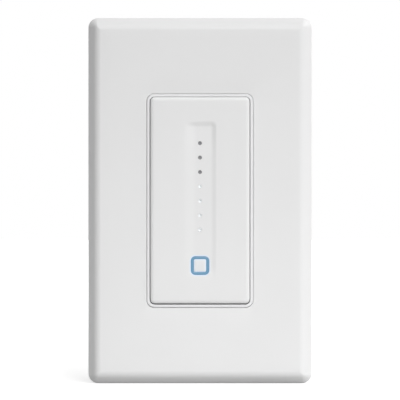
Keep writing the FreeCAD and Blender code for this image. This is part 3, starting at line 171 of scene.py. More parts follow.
def rounded_path(points, radii, steps=8):
    """Open path through 2-D points, each bent by an arc tangent to both of its runs.

    Each arc's centre lies on the bisector at radius / sin(half angle) from the corner.
    """
    points = np.asarray(points, float)
    path = [points[:1]]
    for before, corner, after, radius in zip(points, points[1:], points[2:], radii):
        inward = (before - corner) / np.linalg.norm(before - corner)
        onward = (after - corner) / np.linalg.norm(after - corner)
        half = math.acos(np.clip(inward @ onward, -1, 1)) / 2
        middle = (inward + onward) / np.linalg.norm(inward + onward)
        centre = corner + middle * radius / math.sin(half)
        start = corner + inward * radius / math.tan(half) - centre
        end = corner + onward * radius / math.tan(half) - centre
        part = np.linspace(0, 1, steps + 1)[:, None]
        sweep = math.pi - 2 * half
        turn = (np.sin((1 - part) * sweep) * start + np.sin(part * sweep) * end) / math.sin(sweep)
        path.append(centre + turn)
    path.append(points[-1:])
    return np.vstack(path)


def inset_rows(outline, path, least=0.3):
    """Rows for rounded_rings: an outline (half width, half height, radius) inset by each (inset, y)."""
    half_width, half_height, radius = outline
    return [(half_width - a, half_height - a, max(radius - a, least), y) for a, y in path]


def rounded_rings(rows, arc_steps=10, side_steps=6):
    """Grid of rounded rectangles, one for each row (half width, half height, radius, y).

    A point is a corner's centre plus radius times (cos t, sin t), for t over each quarter turn,
    and the straight runs between the quarters are divided evenly.
    """
    rows = np.asarray(rows, float)
    half_width, half_height, radius, depth = rows.T[:, :, None]
    quarter = np.linspace(0, math.pi / 2, arc_steps + 1)[None, :]
    arcs = []
    for index, (a, b) in enumerate(((1, 1), (-1, 1), (-1, -1), (1, -1))):
        turn = quarter + index * math.pi / 2
        x = a * (half_width - radius) + radius * np.cos(turn)
        z = b * (half_height - radius) + radius * np.sin(turn)
        arcs.append(np.stack([x, np.broadcast_to(depth, x.shape), z], axis=2))
    ring = []
    share = np.linspace(0, 1, side_steps + 1)[None, 1:-1, None]
    for arc, following in zip(arcs, arcs[1:] + arcs[:1]):
        run = arc[:, -1:, :] * (1 - share) + following[:, :1, :] * share
        ring += [arc, run]
    return np.concatenate(ring, axis=1)


def turned(profile, steps=32, radius_at=None):
    """Grid of a profile (radius, depth) turned round the Y axis: x = r cos t, y = depth, z = r sin t.

    radius_at(t) may bound the radius, as flats on a head do.
    """
    profile = np.asarray(profile, float)
    turn = np.linspace(0, 2 * math.pi, steps, endpoint=False)[None, :]
    radius = profile[:, :1] * np.ones_like(turn)
    if radius_at is not None:
        radius = np.minimum(radius, radius_at(turn))
    depth = profile[:, 1:] * np.ones_like(turn)
    return np.stack([radius * np.cos(turn), depth, radius * np.sin(turn)], axis=2)


def hexagon_radius(corner_radius):
    """Radius of a hexagon at angle t: the flat's distance over cos of the angle from its middle."""
    flat = corner_radius * math.cos(math.pi / 6)

    def radius(turn):
        return flat / np.cos(np.mod(turn, math.pi / 3) - math.pi / 6)

    return radius


def helical_thread(core, crest, pitch, start, end, steps=24, rows_per_turn=8):
    """Grid of a threaded shank: radius = core + (crest - core) * w(y / pitch - t / 2 pi).

    w is a triangle wave from 0 to 1, and it fades out over one pitch at each end.
    """
    rows = int((end - start) / pitch * rows_per_turn)
    depth = np.linspace(start, end, rows)[:, None]
    turn = np.linspace(0, 2 * math.pi, steps, endpoint=False)[None, :]
    phase = np.mod(depth / pitch - turn / (2 * math.pi), 1.0)
    wave = 1 - np.abs(2 * phase - 1)
    fade = np.clip(np.minimum(depth - start, end - depth) / pitch, 0, 1)
    radius = core + (crest - core) * wave * fade
    return np.stack([radius * np.cos(turn), depth * np.ones_like(turn), radius * np.sin(turn)], axis=2)


def skin(grid, looped=False):
    """Points and faces of a grid whose columns close on themselves.

    Rows close on themselves too if looped, or else the first and the last row are capped.
    """
    rows, columns, _ = grid.shape
    index = np.arange(rows * columns).reshape(rows, columns)
    if looped:
        index = np.vstack([index, index[:1]])
    across = np.roll(index, -1, axis=1)
    quads = np.stack([index[:-1], across[:-1], across[1:], index[1:]], axis=2).reshape(-1, 4).tolist()
    if not looped:
        quads.append(index[0][::-1].tolist())
        quads.append(index[-1].tolist())
    points = grid.reshape(-1, 3)
    around = np.asarray(quads[: (len(index) - 1) * columns])
    a, b, c, d = (points[around[:, i]] - points.mean(0) for i in range(4))
    volume = np.einsum("ij,ij->i", a, np.cross(b, c)).sum() + np.einsum("ij,ij->i", a, np.cross(c, d)).sum()
    if volume < 0:
        quads = [face[::-1] for face in quads]
    return points, quads


def sheet_faces(rows, columns):
    """Index of each point of an open grid, and the grid's quads."""
    index = np.arange(rows * columns).reshape(rows, columns)
    quads = np.stack([index[:-1, :-1], index[:-1, 1:], index[1:, 1:], index[1:, :-1]], axis=2)
    return index, quads.reshape(-1, 4).tolist()


def placed(grid, axis="+Y", origin=(0, 0, 0)):
    """The grid with its own Y axis laid along another axis, then moved to the origin given."""
    x, y, z = np.moveaxis(grid, 2, 0)
    laid = {"+Y": (x, y, z), "+X": (y, -x, z), "-X": (-y, x, z)}[axis]
    return np.stack(laid, axis=2) + np.asarray(origin, float)


def brick(low, high):
    """Skin of the box between two corners: a rectangle with hardly any radius, run along Y."""
    low, high = np.asarray(low, float), np.asarray(high, float)
    half, middle = (high - low) / 2, (high + low) / 2
    rows = [(half[0], half[2], 0.01, -half[1]), (half[0], half[2], 0.01, half[1])]
    return skin(placed(rounded_rings(rows, 1, 1), origin=middle))


def raw_mesh(name, skins):
    """One mesh in metres from (points, faces) skins in millimetres."""
    points, faces, offset = [], [], 0
    for skin_points, skin_faces in skins:
        points.append(skin_points)
        faces += [[corner + offset for corner in face] for face in skin_faces]
        offset += len(skin_points)
    mesh = bpy.data.meshes.new(name)
    mesh.from_pydata((np.vstack(points) * MM).tolist(), [], faces)
    mesh.validate()
    return mesh


def joined_mesh(node):
    """A part's own triangles, which are loose, joined where their corners meet."""
    mesh = frame["nodes"][node].data
    points = np.zeros(len(mesh.vertices) * 3, np.float32)
    mesh.vertices.foreach_get("co", points)
    points = points.reshape(-1, 3)
    corners = np.zeros(len(mesh.loops), np.int32)
    mesh.loops.foreach_get("vertex_index", corners)
    _, first, same = np.unique(np.round(points, 7), axis=0, return_index=True, return_inverse=True)
    a, b, c = same.reshape(-1)[corners].reshape(-1, 3).T
    whole = (a != b) & (b != c) & (c != a)
    joined = bpy.data.meshes.new(node + "_shell")
    joined.from_pydata(points[first].tolist(), [], np.stack([a, b, c], axis=1)[whole].tolist())
    return joined


def smooth(mesh, crease):
    """Shades a mesh smoothly, apart from edges sharper than the crease in degrees."""
    mesh.shade_smooth()
    mesh.set_sharp_from_angle(angle=math.radians(crease))


def dressed(name, mesh, node, crease=40, finish=None, even=False):
    """Object for a mesh, shown in a part's place, which moves with the part's body unless the paddle bends
    the part, when it stays fixed.
    """
    smooth(mesh, crease)
    mesh.materials.append(MATERIALS[finish or SLOTS[node]])
    piece = bpy.data.objects.new(name, mesh)
    bpy.context.scene.collection.objects.link(piece)
    if even:
        weighted = piece.modifiers.new("even_shading", "WEIGHTED_NORMAL")
        weighted.keep_sharp = True
        weighted.weight = 80
    if node in BENT_BY_PADDLE:
        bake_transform(piece)
    else:
        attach(piece, frame["nodes"][node]["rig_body"])
    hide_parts(node)
    return piece


def make_piece(name, skins, node, crease=40, finish=None):
    """Piece made of (points, faces) skins in millimetres."""
    return dressed(name, raw_mesh(name, skins), node, crease, finish)


def carve(piece, tool, operation="DIFFERENCE"):
    """Cuts a mesh out of a piece, or joins it on, and keeps the piece's smooth shading."""
    cutter = bpy.data.objects.new("cutter", tool)
    bpy.context.scene.collection.objects.link(cutter)
    modifier = piece.modifiers.new("cut", "BOOLEAN")
    modifier.object = cutter
    modifier.operation = operation
    modifier.solver = "EXACT"
    graph = bpy.context.evaluated_depsgraph_get()
    piece.data = bpy.data.meshes.new_from_object(piece.evaluated_get(graph))
    piece.modifiers.clear()
    bpy.data.objects.remove(cutter)
    smooth(piece.data, 35)


# Materials

def linear(code):
    """Linear RGBA of an sRGB hex colour such as E6E6E8."""
    values = [int(code[i:i + 2], 16) / 255 for i in (0, 2, 4)]
    return tuple(v / 12.92 if v <= 0.04045 else ((v + 0.055) / 1.055) ** 2.4 for v in values) + (1.0,)


def add_node(tree, kind, settings=None, inputs=None):
    """Adds one node with its settings and inputs, each a number, a vector, a hex colour or a socket."""
    node = tree.nodes.new(kind)
    for key, value in (settings or {}).items():
        setattr(node, key, value)
    for key, source in (inputs or {}).items():
        if isinstance(source, bpy.types.NodeSocket):
            tree.links.new(source, node.inputs[key])
        else:
            node.inputs[key].default_value = linear(source) if isinstance(source, str) else source
    return node


def start_finish(name):
    """A new material, its empty node tree and its Object coordinates."""
    material = bpy.data.materials.new(name)
    material.use_nodes = True
    tree = material.node_tree
    tree.nodes.clear()
    return material, tree, add_node(tree, "ShaderNodeTexCoord").outputs["Object"]


def end_finish(material, inputs):
    """Gives a material its Principled surface and returns the material."""
    surface = add_node(material.node_tree, "ShaderNodeBsdfPrincipled", inputs=inputs)
    add_node(material.node_tree, "ShaderNodeOutputMaterial", inputs={"Surface": surface.outputs["BSDF"]})
    return material


def moulded_plastic(name, colour, shade, roughness, grain, relief, edge=0.12, ior=1.5):
    """Injection-moulded plastic.

    Gives the eye a soft satin sheen broken by a spark-eroded grain, colour that drifts a little
    between two close shades as the melt flowed, and edges with the small round a mould leaves.
    """
    material, tree, place = start_finish(name)
    flow = add_node(tree, "ShaderNodeTexNoise",
                    inputs={"Scale": 1 / (18 * MM), "Detail": 3.0, "Vector": place})
    tint = add_node(tree, "ShaderNodeMix", {"data_type": "RGBA"},
                    {FACTOR: flow.outputs["Fac"], FIRST: colour, SECOND: shade})
    fine = add_node(tree, "ShaderNodeTexNoise",
                    inputs={"Scale": 1 / (grain * MM), "Detail": 4.0, "Vector": place})
    sheen = add_node(tree, "ShaderNodeMapRange", inputs={
        "Value": fine.outputs["Fac"], "To Min": roughness - 0.04, "To Max": roughness + 0.05})
    soft = add_node(tree, "ShaderNodeBevel", {"samples": 6}, {"Radius": edge * MM})
    bump = add_node(tree, "ShaderNodeBump", inputs={
        "Strength": 1.0, "Distance": relief * MM, "Height": fine.outputs["Fac"],
        "Normal": soft.outputs["Normal"]})
    return end_finish(material, {"Base Color": tint.outputs[MIXED], "Roughness": sheen.outputs["Result"],
                                 "Normal": bump.outputs["Normal"], "IOR": ior})


def painted_ring_glow(material, middle, half, reach, colour):
    """Paints the lit ring's light into the base colour of the plastic beside it, as painted glow.

    The painted glow is full on the lit line, which runs at one distance (reach) from a small box inside it,
    and fades out on both sides. It gives the eye the ring's soft pale blue halo as painted light in the
    plastic's colour. A point's distance from the box is the length of the part above zero of |point - middle|
    - half.
    """
    tree = material.node_tree
    surface = next(node for node in tree.nodes if node.bl_idname == "ShaderNodeBsdfPrincipled")
    plain = surface.inputs["Base Color"].links[0].from_socket
    outside = add_node(tree, "ShaderNodeTexCoord").outputs["Object"]
    for operation, operand in (("SUBTRACT", middle), ("ABSOLUTE", (0, 0, 0)), ("SUBTRACT", half),
                               ("MAXIMUM", (0, 0, 0))):
        step = add_node(tree, "ShaderNodeVectorMath", {"operation": operation}, {0: outside, 1: operand})
        outside = step.outputs["Vector"]
    apart = add_node(tree, "ShaderNodeVectorMath", {"operation": "LENGTH"}, {0: outside})
    away = add_node(tree, "ShaderNodeMath", {"operation": "SUBTRACT"}, {0: apart.outputs["Value"], 1: reach})
    near = add_node(tree, "ShaderNodeMath", {"operation": "ABSOLUTE"}, {0: away.outputs[0]})
    strength = add_node(tree, "ShaderNodeMapRange", {"interpolation_type": "SMOOTHSTEP"}, {
        "Value": near.outputs[0], "From Min": PAINTED_HALO[0] * MM, "From Max": PAINTED_HALO[1] * MM,
        "To Min": 1.0, "To Max": 0.0})
    tint = add_node(tree, "ShaderNodeMix", {"data_type": "RGBA"},
                    {FACTOR: strength.outputs["Result"], FIRST: plain, SECOND: colour})
    tree.links.new(tint.outputs[MIXED], surface.inputs["Base Color"])


def rolled_metal(name, colour, shade, roughness, stretch, line, relief):
    """Rolled or drawn metal.

    Gives the eye fine lines along the rolling direction, a sheen that changes across them,
    and a brighter rounded edge where the sheet was cut.
    """
    material, tree, place = start_finish(name)
    along = add_node(tree, "ShaderNodeMapping", inputs={"Scale": stretch, "Vector": place})
    lines = add_node(tree, "ShaderNodeTexNoise",
                     inputs={"Scale": 1 / (line * MM), "Detail": 5.0, "Vector": along.outputs["Vector"]})
    cloud = add_node(tree, "ShaderNodeTexNoise",
                     inputs={"Scale": 1 / (9 * MM), "Detail": 2.0, "Vector": place})
    tint = add_node(tree, "ShaderNodeMix", {"data_type": "RGBA"},
                    {FACTOR: cloud.outputs["Fac"], FIRST: colour, SECOND: shade})
    sheen = add_node(tree, "ShaderNodeMapRange", inputs={
        "Value": lines.outputs["Fac"], "To Min": roughness - 0.08, "To Max": roughness + 0.1})
    soft = add_node(tree, "ShaderNodeBevel", {"samples": 6}, {"Radius": 0.15 * MM})
    bump = add_node(tree, "ShaderNodeBump", inputs={
        "Strength": 0.8, "Distance": relief * MM, "Height": lines.outputs["Fac"],
        "Normal": soft.outputs["Normal"]})
    return end_finish(material, {"Base Color": tint.outputs[MIXED], "Roughness": sheen.outputs["Result"],
                                 "Normal": bump.outputs["Normal"], "Metallic": 1.0})


def circuit_board(name):
    """Glass-epoxy board under green solder mask.

    Gives the eye a glossy green skin with slightly paler copper tracks under it, stepped on a
    1.27 mm grid, and rows of bright tinned pads.
    """
    material, tree, place = start_finish(name)
    flat = add_node(tree, "ShaderNodeMapping", inputs={"Rotation": (math.pi / 2, 0, 0), "Vector": place})
    tracks = add_node(tree, "ShaderNodeTexBrick", {"offset": 0.35, "squash": 0.6, "squash_frequency": 3}, {
        "Scale": 1 / (1.27 * MM), "Mortar Size": 0.12, "Mortar Smooth": 0.0, "Color1": "0E4A2C",
        "Color2": "115232", "Mortar": "2C7A4C", "Brick Width": 3.0, "Row Height": 1.0,
        "Vector": flat.outputs["Vector"]})
    pads = add_node(tree, "ShaderNodeTexVoronoi", {"feature": "F1", "voronoi_dimensions": "2D"}, {
        "Scale": 1 / (5.08 * MM), "Randomness": 0.0, "Vector": flat.outputs["Vector"]})
    is_pad = add_node(tree, "ShaderNodeMath", {"operation": "LESS_THAN"},
                      {0: pads.outputs["Distance"], 1: 0.09})
    tint = add_node(tree, "ShaderNodeMix", {"data_type": "RGBA"},
                    {FACTOR: is_pad.outputs[0], FIRST: tracks.outputs["Color"], SECOND: "C9C7BC"})
    step = add_node(tree, "ShaderNodeBump",
                    inputs={"Strength": 0.6, "Distance": 0.03 * MM, "Height": tracks.outputs["Fac"]})
    return end_finish(material, {
        "Base Color": tint.outputs[MIXED], "Metallic": is_pad.outputs[0],
        "Normal": step.outputs["Normal"], "IOR": 1.5, "Roughness": 0.32, "Coat Weight": 0.3})


def milky_lens(name, colour, shade, glow, strength):
    """Milky polycarbonate light pipe, moulded and polished.

    Gives the eye a smooth translucent face: lit, it glows evenly with a paler heart, and unlit
    it shows the grey of the cell behind it.
    """
    material, tree, place = start_finish(name)
    cloud = add_node(tree, "ShaderNodeTexNoise",
                     inputs={"Scale": 1 / (0.5 * MM), "Detail": 2.0, "Vector": place})
    tint, shine = (add_node(tree, "ShaderNodeMix", {"data_type": "RGBA"},
                            {FACTOR: cloud.outputs["Fac"], FIRST: first, SECOND: second})
                   for first, second in ((colour, shade), (glow, colour)))
    return end_finish(material, {
        "Base Color": tint.outputs[MIXED], "Emission Color": shine.outputs[MIXED],
        "Emission Strength": strength, "IOR": 1.58, "Roughness": 0.3})


def fibrous_sheet(name, colour, shade, fibre):
    """Vulcanised fibre, stamped from sheet.

    Gives the eye a dull brick-red card with darker strands and a slightly furred cut edge.
    """
    material, tree, place = start_finish(name)
    along = add_node(tree, "ShaderNodeMapping", inputs={"Scale": (1.0, 3.0, 4.0), "Vector": place})
    strands = add_node(tree, "ShaderNodeTexNoise", inputs={
        "Scale": 1 / (fibre * MM), "Detail": 6.0, "Distortion": 1.2, "Vector": along.outputs["Vector"]})
    tint = add_node(tree, "ShaderNodeMix", {"data_type": "RGBA"},
                    {FACTOR: strands.outputs["Fac"], FIRST: colour, SECOND: shade})
    bump = add_node(tree, "ShaderNodeBump",
                    inputs={"Strength": 0.7, "Distance": 0.05 * MM, "Height": strands.outputs["Fac"]})
    return end_finish(material, {"Base Color": tint.outputs[MIXED], "Normal": bump.outputs["Normal"],
                                 "IOR": 1.5, "Roughness": 0.8})


def laid_bands(name, colour, shade, stripe, turn, roughness):
    """Copper strips under film, or turns of tape: even stripes a real width apart.

    Gives the eye parallel bands with a small step between them and a clear gloss on top.
    """
    material, tree, place = start_finish(name)
    across = add_node(tree, "ShaderNodeMapping", inputs={"Rotation": turn, "Vector": place})
    bands = add_node(tree, "ShaderNodeTexWave", {"wave_type": "BANDS", "bands_direction": "X"}, {
        "Scale": WAVE_BAND / (stripe * MM), "Distortion": 0.3, "Detail": 1.0,
        "Vector": across.outputs["Vector"]})
    ramp = add_node(tree, "ShaderNodeMapRange", {"interpolation_type": "SMOOTHSTEP"},
                    {"Value": bands.outputs["Fac"], "From Min": 0.35, "From Max": 0.65})
    tint = add_node(tree, "ShaderNodeMix", {"data_type": "RGBA"},
                    {FACTOR: ramp.outputs["Result"], FIRST: colour, SECOND: shade})
    bump = add_node(tree, "ShaderNodeBump",
                    inputs={"Strength": 0.5, "Distance": 0.05 * MM, "Height": bands.outputs["Fac"]})
    return end_finish(material, {"Base Color": tint.outputs[MIXED], "Normal": bump.outputs["Normal"],
                                 "IOR": 1.5, "Roughness": roughness, "Coat Weight": 0.4})


def seen_directly(tree):
    """Socket that is 1 for camera, glossy and transmission rays, and 0 for the light that falls."""
    path = add_node(tree, "ShaderNodeLightPath").outputs
    gloss = add_node(tree, "ShaderNodeMath", {"operation": "MAXIMUM"},
                     {0: path["Is Camera Ray"], 1: path["Is Glossy Ray"]})
    clear = add_node(tree, "ShaderNodeMath", {"operation": "MAXIMUM"},
                     {0: gloss.outputs[0], 1: path["Is Transmission Ray"]})
    return clear.outputs[0]


def floor_paper(name):
    """Matt white paper, lifted towards white where the camera sees it, which keeps its shadows.

    Gives the eye a plain pale ground. The lift grows with the distance from the switch, so that
    the far edge melts into the white.
    """
    material, tree, place = start_finish(name)
    fleck = add_node(tree, "ShaderNodeTexNoise",
                     inputs={"Scale": 1 / (4 * MM), "Detail": 2.0, "Vector": place})
    tint = add_node(tree, "ShaderNodeMix", {"data_type": "RGBA"},
                    {FACTOR: fleck.outputs["Fac"], FIRST: "CACACA", SECOND: "C7C7C7"})
    distance = add_node(tree, "ShaderNodeVectorMath", {"operation": "LENGTH"}, {0: place})
    rise = add_node(tree, "ShaderNodeMapRange", inputs={
        "Value": distance.outputs["Value"], "From Min": 0.15, "From Max": 0.8,
        "To Min": 0.62, "To Max": 1.0})
    lift = add_node(tree, "ShaderNodeMath", {"operation": "MULTIPLY"},
                    {0: rise.outputs["Result"], 1: seen_directly(tree)})
    return end_finish(material, {
        "Base Color": tint.outputs[MIXED], "Emission Color": "FFFFFF",
        "Emission Strength": lift.outputs[0], "Roughness": 0.9, "IOR": 1.4})


def make_materials(colours):
    """Every finish of the switch, by the record's slot."""
    def given(colour):
        return "".join("%02X" % round(255 * channel) for channel in colour)

    white, shade, ring = given(colours.plate), given(colours.plate_shade), given(colours.ring)
    # name, two colours, roughness, grain, relief, and an edge and refraction where they are its own
    moulded = {
        # satin plate and paddle: near-white, with the frame between them a hair brighter
        "plate_plastic": ("asa_satin_moulded", white, shade, 0.42, 0.35, 0.004),
        "bezel_plastic": ("asa_fine_moulded", "EAEAEB", "E7E7E8", 0.38, 0.3, 0.003, 0.1),
        # the paddle's colour also gets the lit ring's glow painted in round the ring
        "paddle_plastic": ("polycarbonate_satin_moulded", white, shade, 0.4, 0.3, 0.003),
        "sub_plate_plastic": ("abs_plain_moulded", "D9D9D6", "D2D2CF", 0.5, 0.4, 0.008),
        # near-black flame-retardant nylon, with the coarser grain such boxes have
        "housing_plastic": ("nylon_black_textured", "2A2B2D", "232426", 0.55, 0.6, 0.03, 0.25),
        "black_plastic": ("nylon_black_plain", "17181A", "1C1D1F", 0.6, 0.3, 0.01),
        "switch_body": ("nylon_switch_moulded", "1D1E20", "242527", 0.5, 0.3, 0.01),
        "plunger_plastic": ("acetal_turned", "3A3B3D", "424345", 0.4, 0.3, 0.006),
        "connector_plastic": ("nylon_natural_moulded", "E4DFCB", "D9D3BC", 0.45, 0.3, 0.008),
        "connector_pins": ("nylon_header_moulded", "1A1A1C", "202022", 0.5, 0.3, 0.01),
        "moulded_epoxy": ("epoxy_transfer_moulded", "1F2022", "27282A", 0.6, 0.25, 0.015),
        "film_box": ("polyester_box_potted", "C9BE93", "BDB184", 0.35, 0.8, 0.01),
        "led_body": ("ppa_chip_moulded", "EFEBDC", "E6E1CF", 0.4, 0.2, 0.004),
        "thermal_rubber": ("silicone_pad_calendered", "A3ACB1", "98A2A7", 0.75, 0.5, 0.03),
        "ferrite": ("ferrite_sintered", "34353A", "2B2C30", 0.7, 0.2, 0.03, 0.12, 2.0),
    }
    # name, two colours, roughness, stretch along the rolling, line width and relief
    rolled = {
        "yoke_aluminium": ("aluminium_sheet_stamped", "C9CBCD", "BDBFC2", 0.38, (1, 1, 0.04), 0.18, 0.012),
        "zinc_plated_steel": ("steel_zinc_plated", "CDCDC8", "B9BAB8", 0.3, (1, 1, 1), 0.5, 0.01),
        "spring_steel": ("spring_steel_rolled", "9FA1A4", "8E9093", 0.35, (0.04, 1, 1), 0.15, 0.006),
        "shield_can": ("steel_tinned_folded", "D2D2CC", "C4C4BF", 0.3, (1, 1, 0.1), 0.4, 0.008),
        "terminal_brass": ("brass_stamped", "C9A45A", "B68F49", 0.32, (1, 0.08, 1), 0.2, 0.01),
        "earth_green": ("steel_green_passivated", "2E8B57", "257449", 0.36, (1, 1, 1), 0.6, 0.012),
    }
    made = {slot: moulded_plastic(*row) for slot, row in moulded.items()}
    made.update({slot: rolled_metal(*row) for slot, row in rolled.items()})
    made.update({
        "circuit_board": circuit_board("board_solder_masked"),
        "fibre": fibrous_sheet("fibre_vulcanised_stamped", "9C3B28", "7E2C1D", 0.6),
        "flex_film": laid_bands("polyimide_film_laminated", "C77A22", "A85B14", 0.8, (0, 0, 0), 0.3),
        "taped_winding": laid_bands("polyester_tape_wound", "E3C23C", "D0AC2C", 2.2,
                                    (0, math.pi / 2, 0), 0.45),
        "ring_lens": milky_lens("polycarbonate_ring_lit", ring, "5F8AA6", ring, 0.25),
        "dot_lens": milky_lens("polycarbonate_dot_lit", "F4F6F8", "E9ECEF", "FFFFFF", colours.dot_glow),
        "dot_unlit": milky_lens("polycarbonate_dot_unlit", "929395", "868789", "929395", 0.0),
    })
    return made


# Settings

def length(name, description, default, low, high):
    """A length setting, given in millimetres."""
    return FloatProperty(name=name, description=description, default=default * MM, min=low * MM,
                         max=high * MM, unit="LENGTH", precision=5)


def colour_setting(name, description, default):
    """A colour setting, given as sRGB values."""
    return FloatVectorProperty(name=name, description=description, default=default, size=3, min=0, max=1,
                               subtype="COLOR_GAMMA")


class DimmerPlateSettings(bpy.types.PropertyGroup):
    """Sizes of the wall plate."""
    side: length("Side height", "Straight side before the bevel", 2.2, 0.5, 4)
    bevel: length("Bevel width", "Width of the bevelled rim", 2.65, 1, 5)
    bevel_round: length("Bevel round", "Radius where the bevel meets the face", 2.9, 0.2, 4)
    corner: length("Corner", "Radius of the plate's outer corners", 3.1, 1, 8)
    wall: length("Wall", "Wall thickness", 1.6, 0.8, 3)


class DimmerPaddleSettings(bpy.types.PropertyGroup):
    """Sizes of the paddle's face."""
    corner: length("Corner", "Radius of the paddle's corners", 1.4, 0.5, 4)
    edge_width: length("Edge width", "Width of the rolled edge", 1.35, 0.1, 1.4)
    edge_drop: length("Edge drop", "Depth of the rolled edge", 0.7, 0.1, 1.2)
    groove_top: length("Groove depth at the top", "Depth of the groove's upper end", 0.46, 0, 0.8)
    groove_middle: length("Groove depth at the dots", "Depth round the dots", 0.29, 0, 0.8)
    groove_foot: length("Groove depth at the foot", "Depth beside the ring", 0.21, 0, 0.8)
    top_reach: length("Top reach", "How far the top edge narrows its gap", 0.1, 0, 0.15)


class DimmerLightSettings(bpy.types.PropertyGroup):
    """The dots and the ring."""
    lit_dots: IntProperty(name="Lit dots", description="Dots lit, counted from the bottom", default=4,
                          min=0, max=DOT_COUNT)
    dish: length("Dot dish", "Depth of the dish in each dot", 0.32, 0, 0.5)
    ring_crown: length("Ring crown", "How far the ring's top is crowned", 0.08, 0, 0.3)


class DimmerScrewSettings(bpy.types.PropertyGroup):
    """Threads of the screws."""
    pitch: length("Thread pitch", "Distance between thread crests", 0.794, 0.4, 2)
    thread_depth: length("Thread depth", "Depth of the thread", 0.4, 0.1, 0.8)


class DimmerColourSettings(bpy.types.PropertyGroup):
    """Colours, as sRGB values."""
    plate: colour_setting("Plate", "Colour of the white plastics", (0.902, 0.902, 0.902))
    plate_shade: colour_setting("Plate shade", "Second shade of the white plastics", (0.89, 0.89, 0.89))
    ring: colour_setting("Ring", "Colour of the lit ring", (0.36, 0.52, 0.63))
    dot_glow: FloatProperty(name="Dot glow", description="How strongly the lit dots glow", default=0.03,
                            min=0, max=5)


class DimmerStageSettings(bpy.types.PropertyGroup):
    """Camera and light."""
    lens: FloatProperty(name="Lens", description="Focal length in millimetres", default=240.0, min=35,
                        max=600)
    view_width: length("View width", "Width of the picture at the plate's face", 124.6, 50, 1000)
    key: FloatProperty(name="Key light", description="Power of the key light", default=8.0, min=0,
                       max=100, unit="POWER")
    spot: FloatProperty(name="Face spot", description="Power of the spot on the plate's face", default=24.0,
                        min=0, max=100, unit="POWER")
    ambient: FloatProperty(name="Ambient", description="Strength of the even light", default=0.302, min=0,
                           max=2)
    slope: FloatVectorProperty(name="Ambient slope", description="How the even light grows along X, Y and Z",
                               default=(0.83, -0.1, 0.5), size=3)


class DimmerSettings(bpy.types.PropertyGroup):
    """All settings of the dimmer."""
    plate: PointerProperty(type=DimmerPlateSettings)
    paddle: PointerProperty(type=DimmerPaddleSettings)
    light: PointerProperty(type=DimmerLightSettings)
    screws: PointerProperty(type=DimmerScrewSettings)
    colours: PointerProperty(type=DimmerColourSettings)
    stage: PointerProperty(type=DimmerStageSettings)


# Finishes and wall plate

class DIMMER_OT_materials(bpy.types.Operator):
    """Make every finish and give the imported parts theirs"""
    bl_idname = "dimmer.materials"
    bl_label = "Finishes"

    def execute(self, context):
        MATERIALS.update(make_materials(context.scene.dimmer.colours))
        # paint the lit ring's pale blue glow into the paddle plastic's base colour round the ring: painted
        # light, not light the ring casts
        half_width, half_height, middle = ring_outline()
        painted_ring_glow(MATERIALS["paddle_plastic"], (0, 0, middle * MM),
                  ((half_width - RING_CORNER) * MM, 1.0, (half_height - RING_CORNER) * MM),
                  (RING_CORNER - RING_STROKE / 2) * MM, "E0ECFC")
        for node, part in frame["nodes"].items():
            for index in range(len(part.data.materials)):
                part.data.materials[index] = MATERIALS[SLOTS[node]]
            if not part.data.materials:
                part.data.materials.append(MATERIALS[SLOTS[node]])
        return {"FINISHED"}


class DIMMER_OT_wall_plate(bpy.types.Operator):
    """Screwless wall plate with a bevelled rim, soft corners and one opening"""
    bl_idname = "dimmer.wall_plate"
    bl_label = "Wall plate"

    def execute(self, context):
        sizes = context.scene.dimmer.plate
        low, high = extent("wall_plate")
        half_width, half_height = high[0], high[2]
        depth = -low[1]
        side, bevel, wall = sizes.side / MM, sizes.bevel / MM, sizes.wall / MM
        edge = sizes.bevel_round / MM
        rim = (half_width, half_height, sizes.corner / MM)

        # outside, as (inset from the rim, y): rim, side, bevel and face
        face_end = half_width - OPENING[0] - OPENING_ROLL - FACE_MARGIN
        outside = rounded_path([(0, 0), (0, -side), (bevel, -depth), (face_end, -depth)],
                               [SIDE_ROUND, edge], 12)
        # the opening's soft edge and its wall
        back = -depth + wall
        roll = [(OPENING_ROLL * (math.cos(t) - 1), -depth + OPENING_ROLL * (1 - math.sin(t)))
                for t in np.linspace(math.pi / 2, 0, 7)]
        # inside: back of the face, inner bevel and inner side
        slope = math.atan2(depth - side, bevel)
        inner_bevel = bevel + wall * math.tan(slope / 2)
        inner_side = side - wall * math.tan((math.pi / 2 - slope) / 2)
        inside = rounded_path([(inner_bevel + BACK_RUN, back), (inner_bevel, back), (wall, -inner_side),
                               (wall, 0)], [max(edge - wall, INNER_ROUND), INNER_ROUND], 6)
        rows = inset_rows(rim, outside) + inset_rows(OPENING, roll + [(0, back)]) + inset_rows(rim, inside)
        skins = [skin(rounded_rings(rows, 12, 6), looped=True)]

        # snap barbs on the inner wall: a wedge's section carried along the wall
        rise, y = np.array(BARB_SECTION).T
        run = np.linspace(-BARB_HALF, BARB_HALF, 8)[:, None]
        for sx, sz in ((-1, -1), (-1, 1), (1, -1), (1, 1)):
            for grid in ((sx * (half_width - wall - rise), y, sz * BARB_Z + run),
                         (sx * BARB_X + run, y, sz * (half_height - wall - rise))):
                skins.append(skin(np.stack(np.broadcast_arrays(*grid), axis=2)))
        make_piece("wall_plate_cover", skins, "wall_plate", 50)
        return {"FINISHED"}


# Paddle

def smooth_step(value, start, end):
    """Runs from 0 to 1 as 3t^2 - 2t^3 while the value goes from start to end."""
    share = np.clip((value - start) / (end - start), 0, 1)
    return share * share * (3 - 2 * share)


def groove_depth(sizes, x, z):
    """Depth of the slider groove at (x, z): its floor's depth times the rise of each wall.

    The floor is deepest under its top end and nearly level below it. The right and top walls are
    short, and the left one and the foot run out slowly.
    """
    top, middle, foot = sizes.groove_top / MM, sizes.groove_middle / MM, sizes.groove_foot / MM
    floor = foot + (middle - foot) * smooth_step(z, *FLOOR_LOW) + (top - middle) * smooth_step(z, *FLOOR_HIGH)
    across = smooth_step(x, *GROOVE_RIGHT) * smooth_step(x, *GROOVE_LEFT)
    upright = smooth_step(z, *GROOVE_HEAD) * smooth_step(z, *GROOVE_TAIL)
    return floor * across * upright


